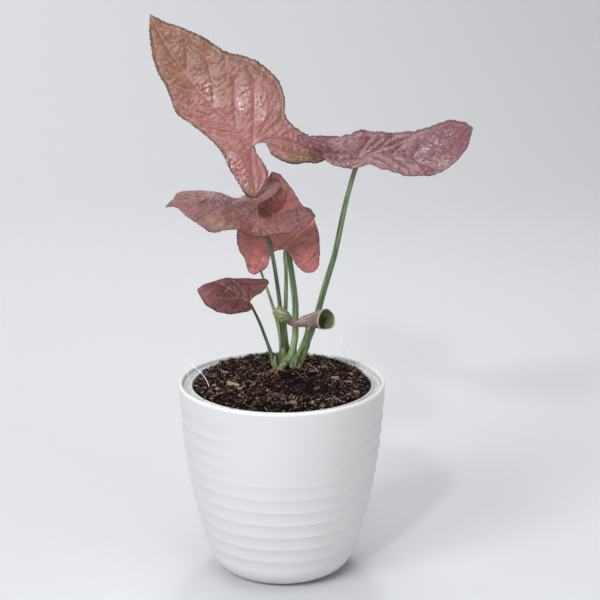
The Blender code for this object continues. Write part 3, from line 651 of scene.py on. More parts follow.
# Each sheath is its path and its radii, in millimetres
SHEATHS = {
    "a": ([(-1.6, -0.6, 134.0), (-0.6, 0.6, 138.0), (1.9, 2.2, 141.2), (4.6, 4.0, 144.7),
        (6.4, 5.4, 147.6), (7.6, 6.9, 151.0)], (2.0, 2.2, 2.3, 2.2, 2.1, 1.9)),
    "a_wrap": ([(6.0, 3.0, 134.0), (6.4, 4.2, 139.0), (6.6, 5.0, 143.0), (7.4, 6.2, 147.5),
        (8.2, 8.0, 153.5)], (2.9, 2.7, 2.4, 2.1, 1.7)),
    "b": ([(9.6, 6.6, 134.0), (10.3, 7.0, 138.5), (11.7, 7.4, 142.0), (14.6, 7.0, 148.5),
        (17.2, 6.5, 155.8)], (3.3, 3.4, 3.1, 2.7, 2.1)),
    "c": ([(1.0, 7.0, 134.0), (1.0, 7.0, 139.0), (0.9, 6.8, 144.0), (0.6, 6.3, 151.0)],
        (2.6, 2.4, 2.0, 1.5)),
    "d": ([(3.5, 13.0, 134.0), (3.5, 13.5, 139.0), (3.4, 14.0, 145.2), (3.0, 14.0, 151.0)],
        (2.8, 2.5, 2.0, 1.6)),
    "e": ([(-4.6, 6.2, 134.0), (-5.2, 5.8, 139.0), (-6.3, 5.0, 143.8), (-7.9, 3.5, 149.8)],
        (2.5, 2.2, 1.7, 1.3)),
    "e_wrap": ([(-4.2, 2.6, 134.0), (-4.2, 2.8, 138.5), (-4.4, 3.6, 142.0), (-4.9, 4.6, 145.5)],
        (2.2, 2.0, 1.5, 0.7)),
    "f": ([(7.4, 4.8, 134.0), (7.6, 5.0, 139.0), (9.1, 4.0, 142.7), (10.8, 3.0, 147.2)],
        (2.8, 2.6, 2.1, 1.4)),
    "shoot": ([(-1.4, 10.5, 134.0), (-1.3, 10.5, 139.0), (-0.7, 10.5, 145.0)], (2.2, 1.9, 1.3)),
}
feet = []
for name, (path, radii) in SHEATHS.items():
    widths = np.interp(np.linspace(0.0, 1.0, 16), np.linspace(0.0, 1.0, len(radii)), radii)
    feet.append(tube("sheath_" + name, even_curve(path, 16) * 0.001, widths * 0.001, 16))
choose(crown, *feet)
bpy.ops.object.join()
change(crown, "REMESH", mode="VOXEL", voxel_size=0.00034, use_smooth_shade=True)
change(crown, "SMOOTH", factor=0.5, iterations=2)
for corner in crown.data.vertices:
    ring = math.atan2(corner.co.y - CROWN_Y, corner.co.x - CROWN_X)
    ridge = 0.00012 * math.sin(38 * ring) + 0.0003 * noise.noise(corner.co * 400.0)
    corner.co += Vector((math.cos(ring), math.sin(ring), 0.0)) * ridge
fleshy = Finish("stem_flesh")
spot = fleshy.place()
mottle = fleshy.grain(spot, 260.0, 4.0, 0.6)
streak = fleshy.grain(fleshy.stretched(spot, 700.0, 700.0, 70.0), 1.0, 3.0, 0.6)
low = 1.0 - fleshy.between(fleshy.part(spot, "Z") + 0.003 * mottle, 0.1385, 0.1425)
# The light and dark streaks are partly the sheaths' own striping and partly painted highlight and shade.
green = fleshy.mixed(fleshy.between(streak, 0.34, 0.66), (0.030, 0.062, 0.018), (0.27, 0.37, 0.16))
pale = fleshy.mixed(mottle, (0.15, 0.11, 0.060), (0.36, 0.32, 0.18))
fleshy.show(Base_Color=fleshy.mixed(0.75 * low, green, pale), Roughness=0.26 + 0.2 * mottle)
fleshy.relief(0.4 * mottle + 0.8 * streak, 0.0006, 0.8)
settle(crown, [fleshy], "stem_green", "crown")


# Rootlets: dry tan threads that come out of the crown's foot and lie over the mix, most of them
# on the left. Their paths are in millimetres.
ROOTLETS = [
    [(-4.0, 1.5, 137.5), (-6.5, -1.0, 136.6), (-9.5, -2.6, 135.2), (-13.5, -2.8, 134.4)],
    [(-3.5, 0.5, 137.6), (-5.5, -2.4, 136.6), (-7.6, -3.6, 136.4), (-9.6, -5.0, 134.8)],
    [(-4.5, 2.0, 137.2), (-8.0, 0.0, 136.6), (-12.5, -1.6, 135.6), (-19.0, -1.9, 133.7),
        (-24.0, -0.8, 133.6)],
    [(-2.0, 0.0, 138.0), (-4.0, -3.2, 136.8), (-5.0, -5.6, 135.4), (-7.5, -7.2, 134.0)],
    [(-2.4, -0.4, 137.6), (-3.2, -4.2, 136.6), (-2.6, -6.6, 135.2), (-0.6, -9.0, 133.6)],
    [(-3.0, 0.6, 138.0), (-5.0, -1.8, 137.6), (-7.6, -2.6, 136.2), (-9.0, -3.8, 134.6)],
    [(-5.0, 2.6, 137.0), (-9.0, 1.8, 136.2), (-13.0, 1.2, 135.0), (-16.0, 1.6, 133.8)],
    [(-1.4, -0.6, 138.2), (-2.6, -3.0, 137.6), (-4.4, -4.8, 136.2), (-5.4, -6.6, 134.4)],
    [(6.0, 1.8, 138.8), (8.0, -1.4, 138.2), (10.6, -4.6, 136.2), (13.4, -7.6, 134.4),
        (15.6, -9.6, 133.2)],
    [(-4.2, 1.0, 138.2), (-6.4, -1.6, 137.6), (-9.0, -1.8, 136.8), (-11.6, -3.4, 134.8)],
]
threads = [tube("rootlet_%02d" % index, even_curve(path, 26) * 0.001, np.linspace(0.00040, 0.00015, 26), 6)
           for index, path in enumerate(ROOTLETS)]
choose(*threads)
bpy.ops.object.join()
rootlets = threads[0]
rootlets.name = "rootlets"
dry = Finish("dry_rootlet", Roughness=0.7, Specular_IOR_Level=0.3)
knot = dry.grain(dry.place(), 500.0, 3.0, 0.6)
dry.show(Base_Color=dry.mixed(dry.between(knot, 0.35, 0.65), (0.20, 0.095, 0.045), (0.42, 0.25, 0.14)))
dry.relief(knot, 0.0002, 0.8)
settle(rootlets, [dry], "stem_green")


# Leaf stalks: fleshy green stalks, round in section, thick at the foot where each one sheathes
# the next. They stand on the crown. Each is its path, its radii at the foot, a third of the way
# up and at the top, in millimetres, and its green.
STALKS = {
    "a": ([(-0.1, 1.2, 139.8), (1.9, 2.2, 141), (4.6, 4, 144.5), (7, 6, 149), (8.4, 8.5, 155.2),
        (8.9, 11, 161.3), (8.9, 13.5, 171), (8.6, 15.5, 180.7), (6.1, 21.5, 199), (4, 24.5, 211),
        (-0.6, 26.5, 231), (-6.5, 28.8, 247.5), (-12.4, 27, 262.5), (-16.8, 22.5, 275),
        (-18.5, 17.6, 282.4), (-18.6, 16.9, 283.0)], (2.3, 2.1, 1.3), (0.15, 0.225, 0.085)),
    "b": ([(11.2, 8, 139.8), (12.2, 7.7, 142), (14.8, 7, 148.7), (17.2, 6.5, 155.8), (19.7, 6, 162.8),
        (23.6, 4.5, 175.5), (27.5, 2.5, 191), (31.4, 0.5, 205), (34.6, -1.5, 217.3), (40.1, -4.5, 245.6),
        (43.5, -6, 260.2), (45.9, -6.5, 269.3), (49.3, -6.7, 278.6)], (2.3, 2.1, 1.5),
        (0.104, 0.158, 0.066)),
    "c": ([(1, 7, 139.8), (1, 6.8, 144), (0.4, 6, 157.3), (-0.7, 4.5, 171.4), (-1.8, 2.5, 185.5),
        (-4.4, -0.5, 205.8), (-7, -2.6, 221), (-9, -3.5, 226.5), (-12.1, -4.3, 232), (-14.9, -5.2, 236.6),
        (-15.5, -7.4, 238.0)], (1.6, 1.4, 1.2), (0.042, 0.062, 0.028)),
    "d": ([(3.5, 13.6, 139.8), (3.4, 14, 145.2), (2.8, 14, 152.2), (1.8, 14, 163), (2.2, 14, 173),
        (2.7, 14.4, 188), (2.6, 14.9, 202.6), (2.1, 15.2, 208.5), (2.1, 14.2, 214.6)], (1.7, 1.4, 1.2),
        (0.125, 0.19, 0.07)),
    "e": ([(-5.2, 5.8, 139.8), (-6.3, 5, 143.8), (-7.9, 3.5, 149.8), (-12.6, -0.5, 164.7),
        (-15.2, -3, 172.2), (-17.9, -5.5, 178.9), (-19.2, -6.6, 182), (-20.0, -7.2, 184.1)],
        (1.7, 1.1, 0.9), (0.08, 0.112, 0.058)),
    "f": ([(7.6, 5, 139.8), (9.1, 4, 142.7), (11.8, 2.2, 150.2), (14.4, -0.3, 157.7), (15.7, -2.4, 162.5),
        (16.6, -3.9, 168.3)], (1.5, 1.2, 1.0), (0.19, 0.275, 0.115)),
}
STALK_FOOT = 138.8
STALK_STEP = 1.6


def toned(colour, share, more=0.0):
    """A colour made lighter or darker."""
    return tuple(min(1.0, value * share + more) for value in colour)


def stalk(name, path, radii, green, node, slot="stem_green"):
    """A stalk along a path in millimetres, with a foot that stands on the crown."""
    count = max(30, int(sum(math.dist(a, b) for a, b in zip(path, path[1:])) / STALK_STEP))
    points = even_curve(path, count)
    widths = np.interp(np.linspace(0.0, 1.0, count), (0.0, 0.33, 1.0), radii)
    widths[-1] *= 0.8
    foot = (points[0][0], points[0][1], STALK_FOOT)
    points = np.vstack([foot, points]) * 0.001
    widths = np.concatenate([widths[:1], widths]) * 0.001
    item = tube(name, points, widths, 16)
    corners = np.array([corner.co[:] for corner in item.data.vertices])
    nearest = np.argmin(np.linalg.norm(corners[:, None] - points[None], axis=2), axis=1)
    along = np.concatenate([[0.0], np.cumsum(np.linalg.norm(np.diff(points, axis=0), axis=1))])
    carry(item.data, grown=np.column_stack([(corners - points[nearest])[:, :2], along[nearest]]))
    skin = Finish(name + "_skin")
    spot = skin.reading("grown", "Vector")
    streak = skin.grain(skin.stretched(spot, 1000.0, 1000.0, 45.0), 1.0, 3.0, 0.6)
    speck = skin.between(skin.grain(spot, 700.0, 2.0), 0.62, 0.7)
    # The pale and dark lengthwise streaks are partly the stalk's own striping and partly painted highlight
    # and shade.
    dark = toned(green, 0.42)
    colour = skin.mixed(skin.between(streak, 0.32, 0.70), dark, toned(green, 2.0, 0.05))
    skin.show(Base_Color=skin.mixed(speck * 0.4, colour, dark), Roughness=0.22 + 0.2 * streak)
    skin.relief(streak, 0.0004, 0.8)
    settle(item, [skin], slot, node)


for letter, (path, radii, green) in STALKS.items():
    stalk("leaf_stalk_" + letter, path, radii, green, "stalk_" + letter)

# The newest shoot: a thin pale green stalk with no blade yet, rolled to a point
stalk("young_shoot", [(-1.4, 10.5, 139.8), (-0.7, 10.5, 145), (-0.7, 10.6, 150.4), (-2.1, 11.4, 162),
                      (-5.4, 13, 174.5), (-10, 15.8, 188.8), (-13.8, 18.5, 199.3), (-15.4, 19.8, 206)],
      (1.5, 1.2, 0.8), (0.330, 0.440, 0.205), "new_shoot", "shoot_green")


# Leaf blades. Each is one thin leathery blade with two long lobes behind the stalk, grown in one
# piece. The outline is in millimetres in the leaf's own plane, along the midrib and across it,
# and the veins lie in shallow grooves with the blade swelling a little between them.
BLADE_THICKNESS = 0.00045
GROOVE_WIDTH = 1.1
SWELL_WIDTH = 2.6
WAVE_FADE = 9.0
MAIN_VEIN = (0.30, 0.34)  # half width and depth of groove, in millimetres
SIDE_VEIN = (0.19, 0.18)


def leaf_frame(leaf):
    joint = Vector(leaf["joint"])
    along = Vector(leaf["tip"]) - joint
    length = along.length
    along.normalize()
    facing = Vector(leaf["facing"])
    facing = (facing - along * facing.dot(along)).normalized()
    return np.array(joint), np.array(along), np.array(facing.cross(along)), np.array(facing), length


def blade_height(leaf, length, u, v):
    """How far the blade's middle stands out of its flat plane."""
    ribs = even_curve([(0.0, 0.0)] + leaf["midrib"][::-1] + [(length, 0.0)], 60)
    across = v - np.interp(u, ribs[:, 0], ribs[:, 1])
    left = 0.5 + 0.5 * np.tanh(across / 3.0)
    forward = np.clip(0.5 * (u + np.sqrt(u * u + 9.0)) / length, 0.0, 1.0)
    height = leaf["fold"] * (np.sqrt(across ** 2 + 9.0) - 3.0)
    height = height + leaf["belly"] * np.sin(math.pi * forward ** leaf.get("peak", 1.0))
    for side, part in (("left", left), ("right", 1.0 - left)):
        half = leaf[side]
        rise = np.maximum(half.get("start", 0) - u, 0.0) / half.get("reach", 1)
        curl = half.get("curl", 0.0) * (across / leaf["width"]) ** 2
        height = height + part * (half.get("lift", 0.0) * rise ** 1.4 + curl)
    return height


def off_line(spots, line):
    """Distance of each spot from a chain of points, how far along it that is, and on which side."""
    best = np.full(len(spots), 1e9)
    where = np.zeros(len(spots))
    side = np.ones(len(spots))
    line = np.array(line, dtype=float)
    steps = np.linalg.norm(np.diff(line, axis=0), axis=1)
    total = steps.sum()
    gone = 0.0
    for start, end, step in zip(line, line[1:], steps):
        way = np.clip(((spots - start) @ (end - start)) / max(step, 1e-6) ** 2, 0.0, 1.0)
        away = np.linalg.norm(spots - start - way[:, None] * (end - start), axis=1)
        nearer = away < best
        best[nearer] = away[nearer]
        where[nearer] = (gone + way[nearer] * step) / total
        offset = spots[nearer] - start
        side[nearer] = np.sign((end - start)[0] * offset[:, 1] - (end - start)[1] * offset[:, 0])
        gone += step
    return best, where, side


def patches(spots, marks):
    """A soft mask, 0 to 1, made of round patches given as (along, across, radius, strength)."""
    mask = np.zeros(len(spots))
    for u, v, radius, strength in marks:
        away = np.hypot(spots[:, 0] - u, spots[:, 1] - v) / radius
        mask = np.maximum(mask, strength * np.exp(-away ** 2))
    return mask


def ripple(spots, seed, *waves):
    """Noise at each spot, summed over waves: (height, beats per millimetre each way, shift)."""
    return sum(height * np.array([noise.noise(Vector((u * along, v * across, seed + shift)))
                                  for u, v in spots]) for height, along, across, shift in waves)


def thicken(item, skins):
    """Give a blade its thickness, with the first skin above and the second below."""
    for skin in skins:
        item.data.materials.append(skin.material)
    change(item, "SOLIDIFY", thickness=BLADE_THICKNESS, offset=0.0, material_offset=1)
    item.data.shade_smooth()


def blade(name, leaf, skins, slot, node):
    """Build one blade from its outline, veins and patches.

    Each half has two ladders of faces: from the midrib and the lobe's vein out to the outer edge,
    and from the lobe's vein to its inner edge."""
    joint, along, across, facing, length = leaf_frame(leaf)
    rows = int(length / leaf["fine"])
    columns = leaf["columns"]
    out = 1.0 - (1.0 - np.linspace(0.0, 1.0, columns + 1)) ** 1.2
    midrib = [(length, 0.0)] + leaf["midrib"] + [(0.0, 0.0)]
    mains = [even_curve(midrib, 50)]
    places, stripes, margins, faces, laterals, tucks = [], [], [], [], [], {}
    for side, turn in (("left", 1.0), ("right", -1.0)):
        half = leaf[side]
        lobe = [(0.0, 0.0)] + half["vein"] + [half["tip"]]
        mains.append(even_curve(lobe, 24))
        lobe_length = sum(math.dist(a, b) for a, b in zip(lobe, lobe[1:]))
        lobe_rows = max(6, round(rows * lobe_length / length))
        lobe_vein = even_curve(lobe, lobe_rows + 1)
        spine = np.vstack([even_curve(midrib, rows + 1), lobe_vein[1:]])
        outer = even_curve([(length, 0.0)] + half["outer"] + [half["tip"]], rows + lobe_rows + 1)
        inner = even_curve([(0.0, 0.0)] + half["inner"][::-1] + [half["tip"]], lobe_rows + 1)
        for ladder, (near, far) in enumerate(((spine, outer), (lobe_vein, inner))):
            ladder_mark = 40.0 * turn + 20.0 * ladder
            tucks[ladder_mark] = ladder * half.get("tuck", 0.0)
            steps = np.gradient(far, axis=0)
            sizes = np.linalg.norm(steps, axis=1)
            run = np.concatenate([[0.0], np.cumsum(sizes[1:])])
            outward = np.stack([steps[:, 1], -steps[:, 0]], axis=1) / sizes[:, None]
            wave = ripple([(step, turn) for step in run], leaf["seed"], (0.45, 0.16, 3.0, 0.0),
                          (leaf["ragged"], 0.42, 3.0, 4.0), (0.7 * leaf["ragged"], 0.95, 1.0, 7.0))
            fade = np.minimum(1.0, np.minimum(run, run[-1] - run) / WAVE_FADE)
            far = far + outward * (-turn if ladder == 0 else turn) * (wave * fade)[:, None]
            reach = np.linalg.norm(far - near, axis=1)
            start = sum(len(block) for block in places)
            places.append((near[:, None, :] + (far - near)[:, None, :] * out[None, :, None]).reshape(-1, 2))
            margins.append(np.column_stack([
                np.tile(out, len(near)), np.repeat(run, columns + 1),
                np.outer(reach, 1.0 - out).ravel(), np.repeat(reach, columns + 1)]))
            swept = leaf["sweep"] * np.outer(np.minimum(1.0, reach / 12.0), out)
            rib = (np.arange(len(near)) * leaf["fine"])[:, None] + swept
            stripes.append(np.column_stack([rib.ravel(), np.outer(reach, out).ravel(),
                                            np.full(rib.size, ladder_mark)]))
            for row in range(len(near) - 1):
                for column in range(columns):
                    a = start + row * (columns + 1) + column
                    b, c, d = a + 1, a + columns + 2, a + columns + 1
                    faces.append((a, d, c, b) if (turn > 0) == (ladder == 0) else (a, b, c, d))
            if ladder == 1:
                laterals.append((near + (far - near) * 0.55)[::4])
                continue
            ways = np.linspace(0.0, 0.93, 14)
            for share in half.get("laterals", leaf["laterals"]):
                rungs = share * rows - leaf["sweep"] / leaf["fine"] * ways ** 1.2
                rungs = np.clip(rungs, 0, len(near) - 1).astype(int)
                laterals.append(near[rungs] + (far - near)[rungs] * ways[:, None])
            rungs = np.arange(int(0.10 * rows), len(near) - int(0.12 * rows), 4)
            inset = np.minimum(0.30, 2.6 / np.maximum(reach, 0.1))
            laterals.append((far + (near - far) * inset[:, None])[rungs])
    spots, stripe, margin = [np.concatenate(blocks) for blocks in (places, stripes, margins)]
    mains += [even_curve(line, 20) for line in leaf["veins"]]
    vein = np.tile((1e9, 1e9, 0.3), (len(spots), 1))
    groove = np.zeros(len(spots))
    for lines, (width, depth) in ((mains, MAIN_VEIN), (laterals, SIDE_VEIN)):
        for line in lines:
            away, where, side = off_line(spots, line)
            nearer = away < vein[:, 1]
            found = np.column_stack([away * side, away, width * (1.0 - 0.6 * where)])
            vein[nearer] = found[nearer]
            groove = np.maximum(groove, depth * (1.0 - 0.5 * where) * np.exp(-(away / GROOVE_WIDTH) ** 2))
    outness, run, from_edge, reach = margin.T
    swell = leaf["swell"] * (1.0 - np.exp(-(vein[:, 1] / SWELL_WIDTH) ** 2))
    swell = swell * np.minimum(1.0, from_edge / 2.0)
    beat = ripple(np.column_stack([run, stripe[:, 2]]), leaf["seed"],
                  (1.3, 0.09, 1.0, 2.0), (0.8, 0.24, 1.0, 6.0))
    crinkle = leaf["crinkle"] * beat * np.minimum(1.0, reach / 14.0) * outness ** 4
    rough = ripple(spots, leaf["seed"], (0.6, 0.11, 0.11, 0.0), (leaf["pucker"], 0.42, 0.42, 9.0))
    height = blade_height(leaf, length, spots[:, 0], spots[:, 1]) + swell - groove + crinkle
    height = height + rough * np.minimum(1.0, from_edge / 1.5 + 0.3)
    for mark, tuck in tucks.items():
        height = height - tuck * (stripe[:, 2] == mark) * outness ** 2
    points = joint + spots[:, :1] * along + spots[:, 1:] * across + height[:, None] * facing
    mesh = bpy.data.meshes.new(name)
    mesh.from_pydata((points * 0.001).tolist(), [], faces)
    carry(mesh, place=np.column_stack([spots, np.full(len(spots), leaf["seed"])]), stripe=stripe,
          vein=np.clip(vein, -50.0, 50.0), edge=from_edge,
          **{key: patches(spots, leaf.get(key, ())) for key in ("wet", "green", "blush_and_painted_light", "dark")})
    item = put_in(name, mesh)
    edit(item)
    bpy.ops.mesh.remove_doubles(threshold=0.00002)
    bpy.ops.mesh.delete_loose()
    bpy.ops.mesh.normals_make_consistent(inside=False)
    edit_done()
    if sum(face.area * face.normal.dot(Vector(facing)) for face in mesh.polygons) < 0.0:
        mesh.flip_normals()
    thicken(item, skins)
    settle(item, (), slot, node)


def vein_line(skin):
    """1 on a vein and 0 off it, from the signed and plain distance and the half width in millimetres."""
    off, near, half = [skin.part(skin.reading("vein", "Vector"), axis) for axis in "XYZ"]
    share = off.maths("ABSOLUTE", off, 0.0) / half
    return (1.0 - skin.between(share, 0.5, 1.5)) * (1.0 - skin.between(near, 0.7, 1.2))


def leaf_skin(name, near, far, turns, vein, edge, edge_width, edge_share, green, blush_and_painted_light, gloss, bumpy,
              crease_and_painted_shading=0.55):
    """The upper skin of a blade: near at the joint and far beyond the turns, its veins and gloss, with
    painted shade and painted highlights on its creases and wrinkles.
    """
    skin = Finish(name)
    place = skin.reading("place", "Vector")
    stripes = skin.stretched(skin.reading("stripe", "Vector"), 1.5, 0.12, 1.0)
    wet = skin.reading("wet")
    greening = skin.reading("green")
    cloud = skin.grain(place, 0.07, 3.0, 0.55)
    blotch = skin.grain(place, 0.30, 4.0, 0.6)
    fleck = skin.grain(place, 1.1, 4.0, 0.65)
    wrinkle = skin.grain(place, 0.45, 1.0, 0.4)
    fine = skin.grain(place, 1.0, 1.0, 0.4)
    crease = skin.grain(stripes, 0.62, 1.0, 0.4)
    rough = 0.6 * skin.grain(stripes, 1.0, 4.0, 0.65) + 0.4 * blotch
    cells = skin.node("ShaderNodeTexVoronoi", {"feature": "DISTANCE_TO_EDGE"},
                      {"Vector": place, "Scale": 0.50})
    net = 1.0 - skin.between(cells, 0.02, 0.12)
    line = vein_line(skin)
    dark = toned(near, 0.36)
    way = skin.part(place, "X") / 100.0 + 0.7 * (cloud - 0.5)
    rim = skin.reading("edge") + 0.9 * (blotch - 0.5)
    rim = 1.0 - skin.between(rim, edge_width * 0.5, edge_width * 1.3)
    layers = [
        # Blush patches: the blade's own pinker colour, and on leaf D also painted light where leaf C shades
        # it.
        (skin.reading("blush_and_painted_light") * (0.55 + 0.9 * blotch), blush_and_painted_light),
        (greening * skin.between(fleck + 0.5 * (cloud - 0.5), 0.40, 0.54), green),
        # Streaky lighter and darker mottle: partly the blade's own, partly painted light and shade standing
        # in for its quilting.
        ((0.35 + 0.7 * crease_and_painted_shading) * skin.between(rough, 0.50, 0.62), dark),
        ((0.15 + 0.9 * crease_and_painted_shading) * (1.0 - skin.between(rough, 0.36, 0.49)), toned(near, 1.45, 0.03)),
        ((0.25 + 0.45 * crease_and_painted_shading) * skin.between(fleck, 0.55, 0.66), dark),
        # Painted shade in the valleys of the crease bumps.
        (crease_and_painted_shading * (1.0 - skin.between(crease, 0.34, 0.44)), dark),
        # Dark patches: painted shade in the pleats, folds and dents, and on leaf C partly its own dark
        # streaks.
        (skin.reading("dark") * skin.between(crease, 0.40, 0.56), toned(near, 0.22)),
        # Painted highlight: pale colour on the wrinkle crests in the wet patches, where the glints fall.
        (0.55 * (wet * skin.between(wrinkle + 0.4 * (fine - 0.5), 0.56, 0.66)), (0.70, 0.58, 0.58)),
        (0.18 * net, vein),
        (0.80 * line, vein),
        (rim * (edge_share + (0.95 - edge_share) * skin.between(greening, 0.1, 0.5)), edge)]
    colour = skin.mixed(skin.between(way, turns[0] / 100.0, turns[1] / 100.0), near, far)
    for share, over in layers:
        colour = skin.mixed(share, colour, over)
    skin.show(Base_Color=colour, Roughness=gloss + 0.16 * (fleck - 0.5) - (gloss - 0.08) * wet)
    bumps = 0.25 * fine + crease_and_painted_shading * crease + 0.50 * wrinkle - 0.10 * net - 0.15 * line
    skin.relief((bumps + 0.05 * fleck) * (0.85 + 1.30 * wet), 0.00060 * bumpy)
    return skin


def leaf_back(name, colour, vein):
    """The duller, paler skin under a blade, where the veins stand out."""
    skin = Finish(name)
    place = skin.reading("place", "Vector")
    cloud = skin.grain(place, 0.06, 3.0, 0.55)
    fleck = skin.grain(place, 1.3, 4.0, 0.6)
    line = vein_line(skin)
    mottle = skin.between(0.5 * cloud + 0.5 * fleck, 0.35, 0.65)
    under = skin.mixed(mottle, toned(colour, 0.75), colour)
    skin.show(Base_Color=skin.mixed(0.7 * line, under, vein), Roughness=0.50 + 0.2 * fleck)
    skin.relief(0.7 * fleck + 0.6 * line, 0.0003, 0.9)
    return skin


def flat_leaf(letter, leaf):
    """One open leaf from its dictionary: outline, veins, patches and the colours of both skins."""
    skins = (leaf_skin("leaf_%s_upper_skin" % letter, **leaf["skin"]),
             leaf_back("leaf_%s_lower_skin" % letter, *leaf["back"]))
    blade("arrow_blade_" + letter, leaf, skins, "leaf_%s_pink" % letter, "blade_" + letter)


# Leaf A, the tallest: salmon pink going over to tan at the tip, with a thin dark edge
flat_leaf("a", {
    "joint": (-18.6, 16.0, 283.7), "tip": (-85.5, 46.0, 364.9), "facing": (-0.1, -0.93, 0.36),
    "midrib": [(101, 2), (75.5, 5), (45, 5)],
    "left": {
        "outer": [(102.5, 6), (91, 13.5), (78, 19), (63.5, 21.5), (48.5, 26), (39, 24), (26, 20.5),
            (11, 18.5), (-3, 21), (-20, 23), (-25.5, 22.5)],
        "inner": [(-26, 12.5), (-24.5, 7), (-19.5, 2.5), (-12, 1.5), (-6, 1)],
        "tip": (-28, 18.5), "vein": [(-12, 9)], "curl": -2.0},
    "right": {
        "outer": [(99.5, -4.5), (90.5, -10.5), (75, -18.5), (60, -23.5), (50.5, -31), (40, -36.5),
            (23.5, -39), (10.5, -34.5), (2.5, -28.5), (-6, -28.5), (-17, -32), (-26, -35),
            (-33.5, -35.5)],
        "inner": [(-34.5, -25), (-30.5, -20.5), (-27, -14.5), (-22, -10), (-17, -7.5), (-11.5, -6),
            (-4.5, -7.5), (-1, -4)],
        "tip": (-37, -32), "vein": [(-4, -11), (-18, -23)], "curl": -2.0, "laterals": ()},
    "width": 35, "belly": -3.0, "fold": 0.1, "fine": 0.55, "columns": 44, "sweep": 17.0,
    "laterals": (0.42, 0.55, 0.68, 0.8, 0.91), "seed": 2.0, "swell": 0.5, "crinkle": 0.6, "pucker": 0.35,
    "ragged": 0.62,
    "veins": [[(38, 3), (47.5, -4), (56, -8), (66, -11.5), (80, -7.5)], [(63.5, 4.5), (78, -6)],
        [(15, 1.5), (32.5, -10.5), (41, -17)], [(0, -0.5), (14, -12.5), (27, -22.5), (34, -28),
        (41, -28.5)], [(1, -2.5), (6, -17), (11, -28.5)], [(0.5, -1.5), (1, -21)], [(32, 10.5),
        (43.5, 17.5), (52, 20)]],
    "green": [(-21, -14, 6, 0.9), (-26, -19, 7, 1.0), (-31, -26, 8, 1.0), (-28, -31, 6, 0.8),
        (-34, -33, 7, 1.0), (-23, 21, 5, 0.7), (76, -16, 6, 0.4), (60, -22, 7, 0.45), (48, -30, 7, 0.5),
        (38, -35, 6, 0.55), (24, -38, 6, 0.6), (13, -35, 6, 0.55), (4, -29, 5, 0.5), (96, 4, 6, 0.3)],
    "blush_and_painted_light": [(10, -3, 18, 0.7), (-10, 14, 15, 0.8), (38, 8, 18, 0.5), (-8, -18, 9, 0.5)],
    "wet": [(47, 0, 5, 1.0), (41, 3, 5, 1.0), (53, 2, 4, 0.8), (36, 6, 4, 0.7), (26, -10, 5, 1.0),
        (30, -17, 4, 0.8), (21, -20, 5, 0.9), (12, -16, 4, 0.8), (4, 18, 4, 0.8), (-4, 19, 5, 1.0),
        (-12, 19, 5, 1.0), (-20, 20, 4, 0.7), (-22, -26, 4, 0.7)],
    "dark": [(-1, -9, 3, 0.4), (60, 16, 6, 0.3)],
    "skin": {"near": (0.302, 0.109, 0.094), "far": (0.25, 0.112, 0.062), "turns": (18, 66),
        "vein": (0.5, 0.25, 0.21), "edge": (0.026, 0.034, 0.014), "edge_width": 1.15, "edge_share": 0.6,
        "green": (0.105, 0.09, 0.032), "blush_and_painted_light": (0.35, 0.115, 0.112), "gloss": 0.38, "bumpy": 0.3,
        "crease_and_painted_shading": 0.15},
    "back": ((0.3, 0.18, 0.13), (0.38, 0.24, 0.18))})

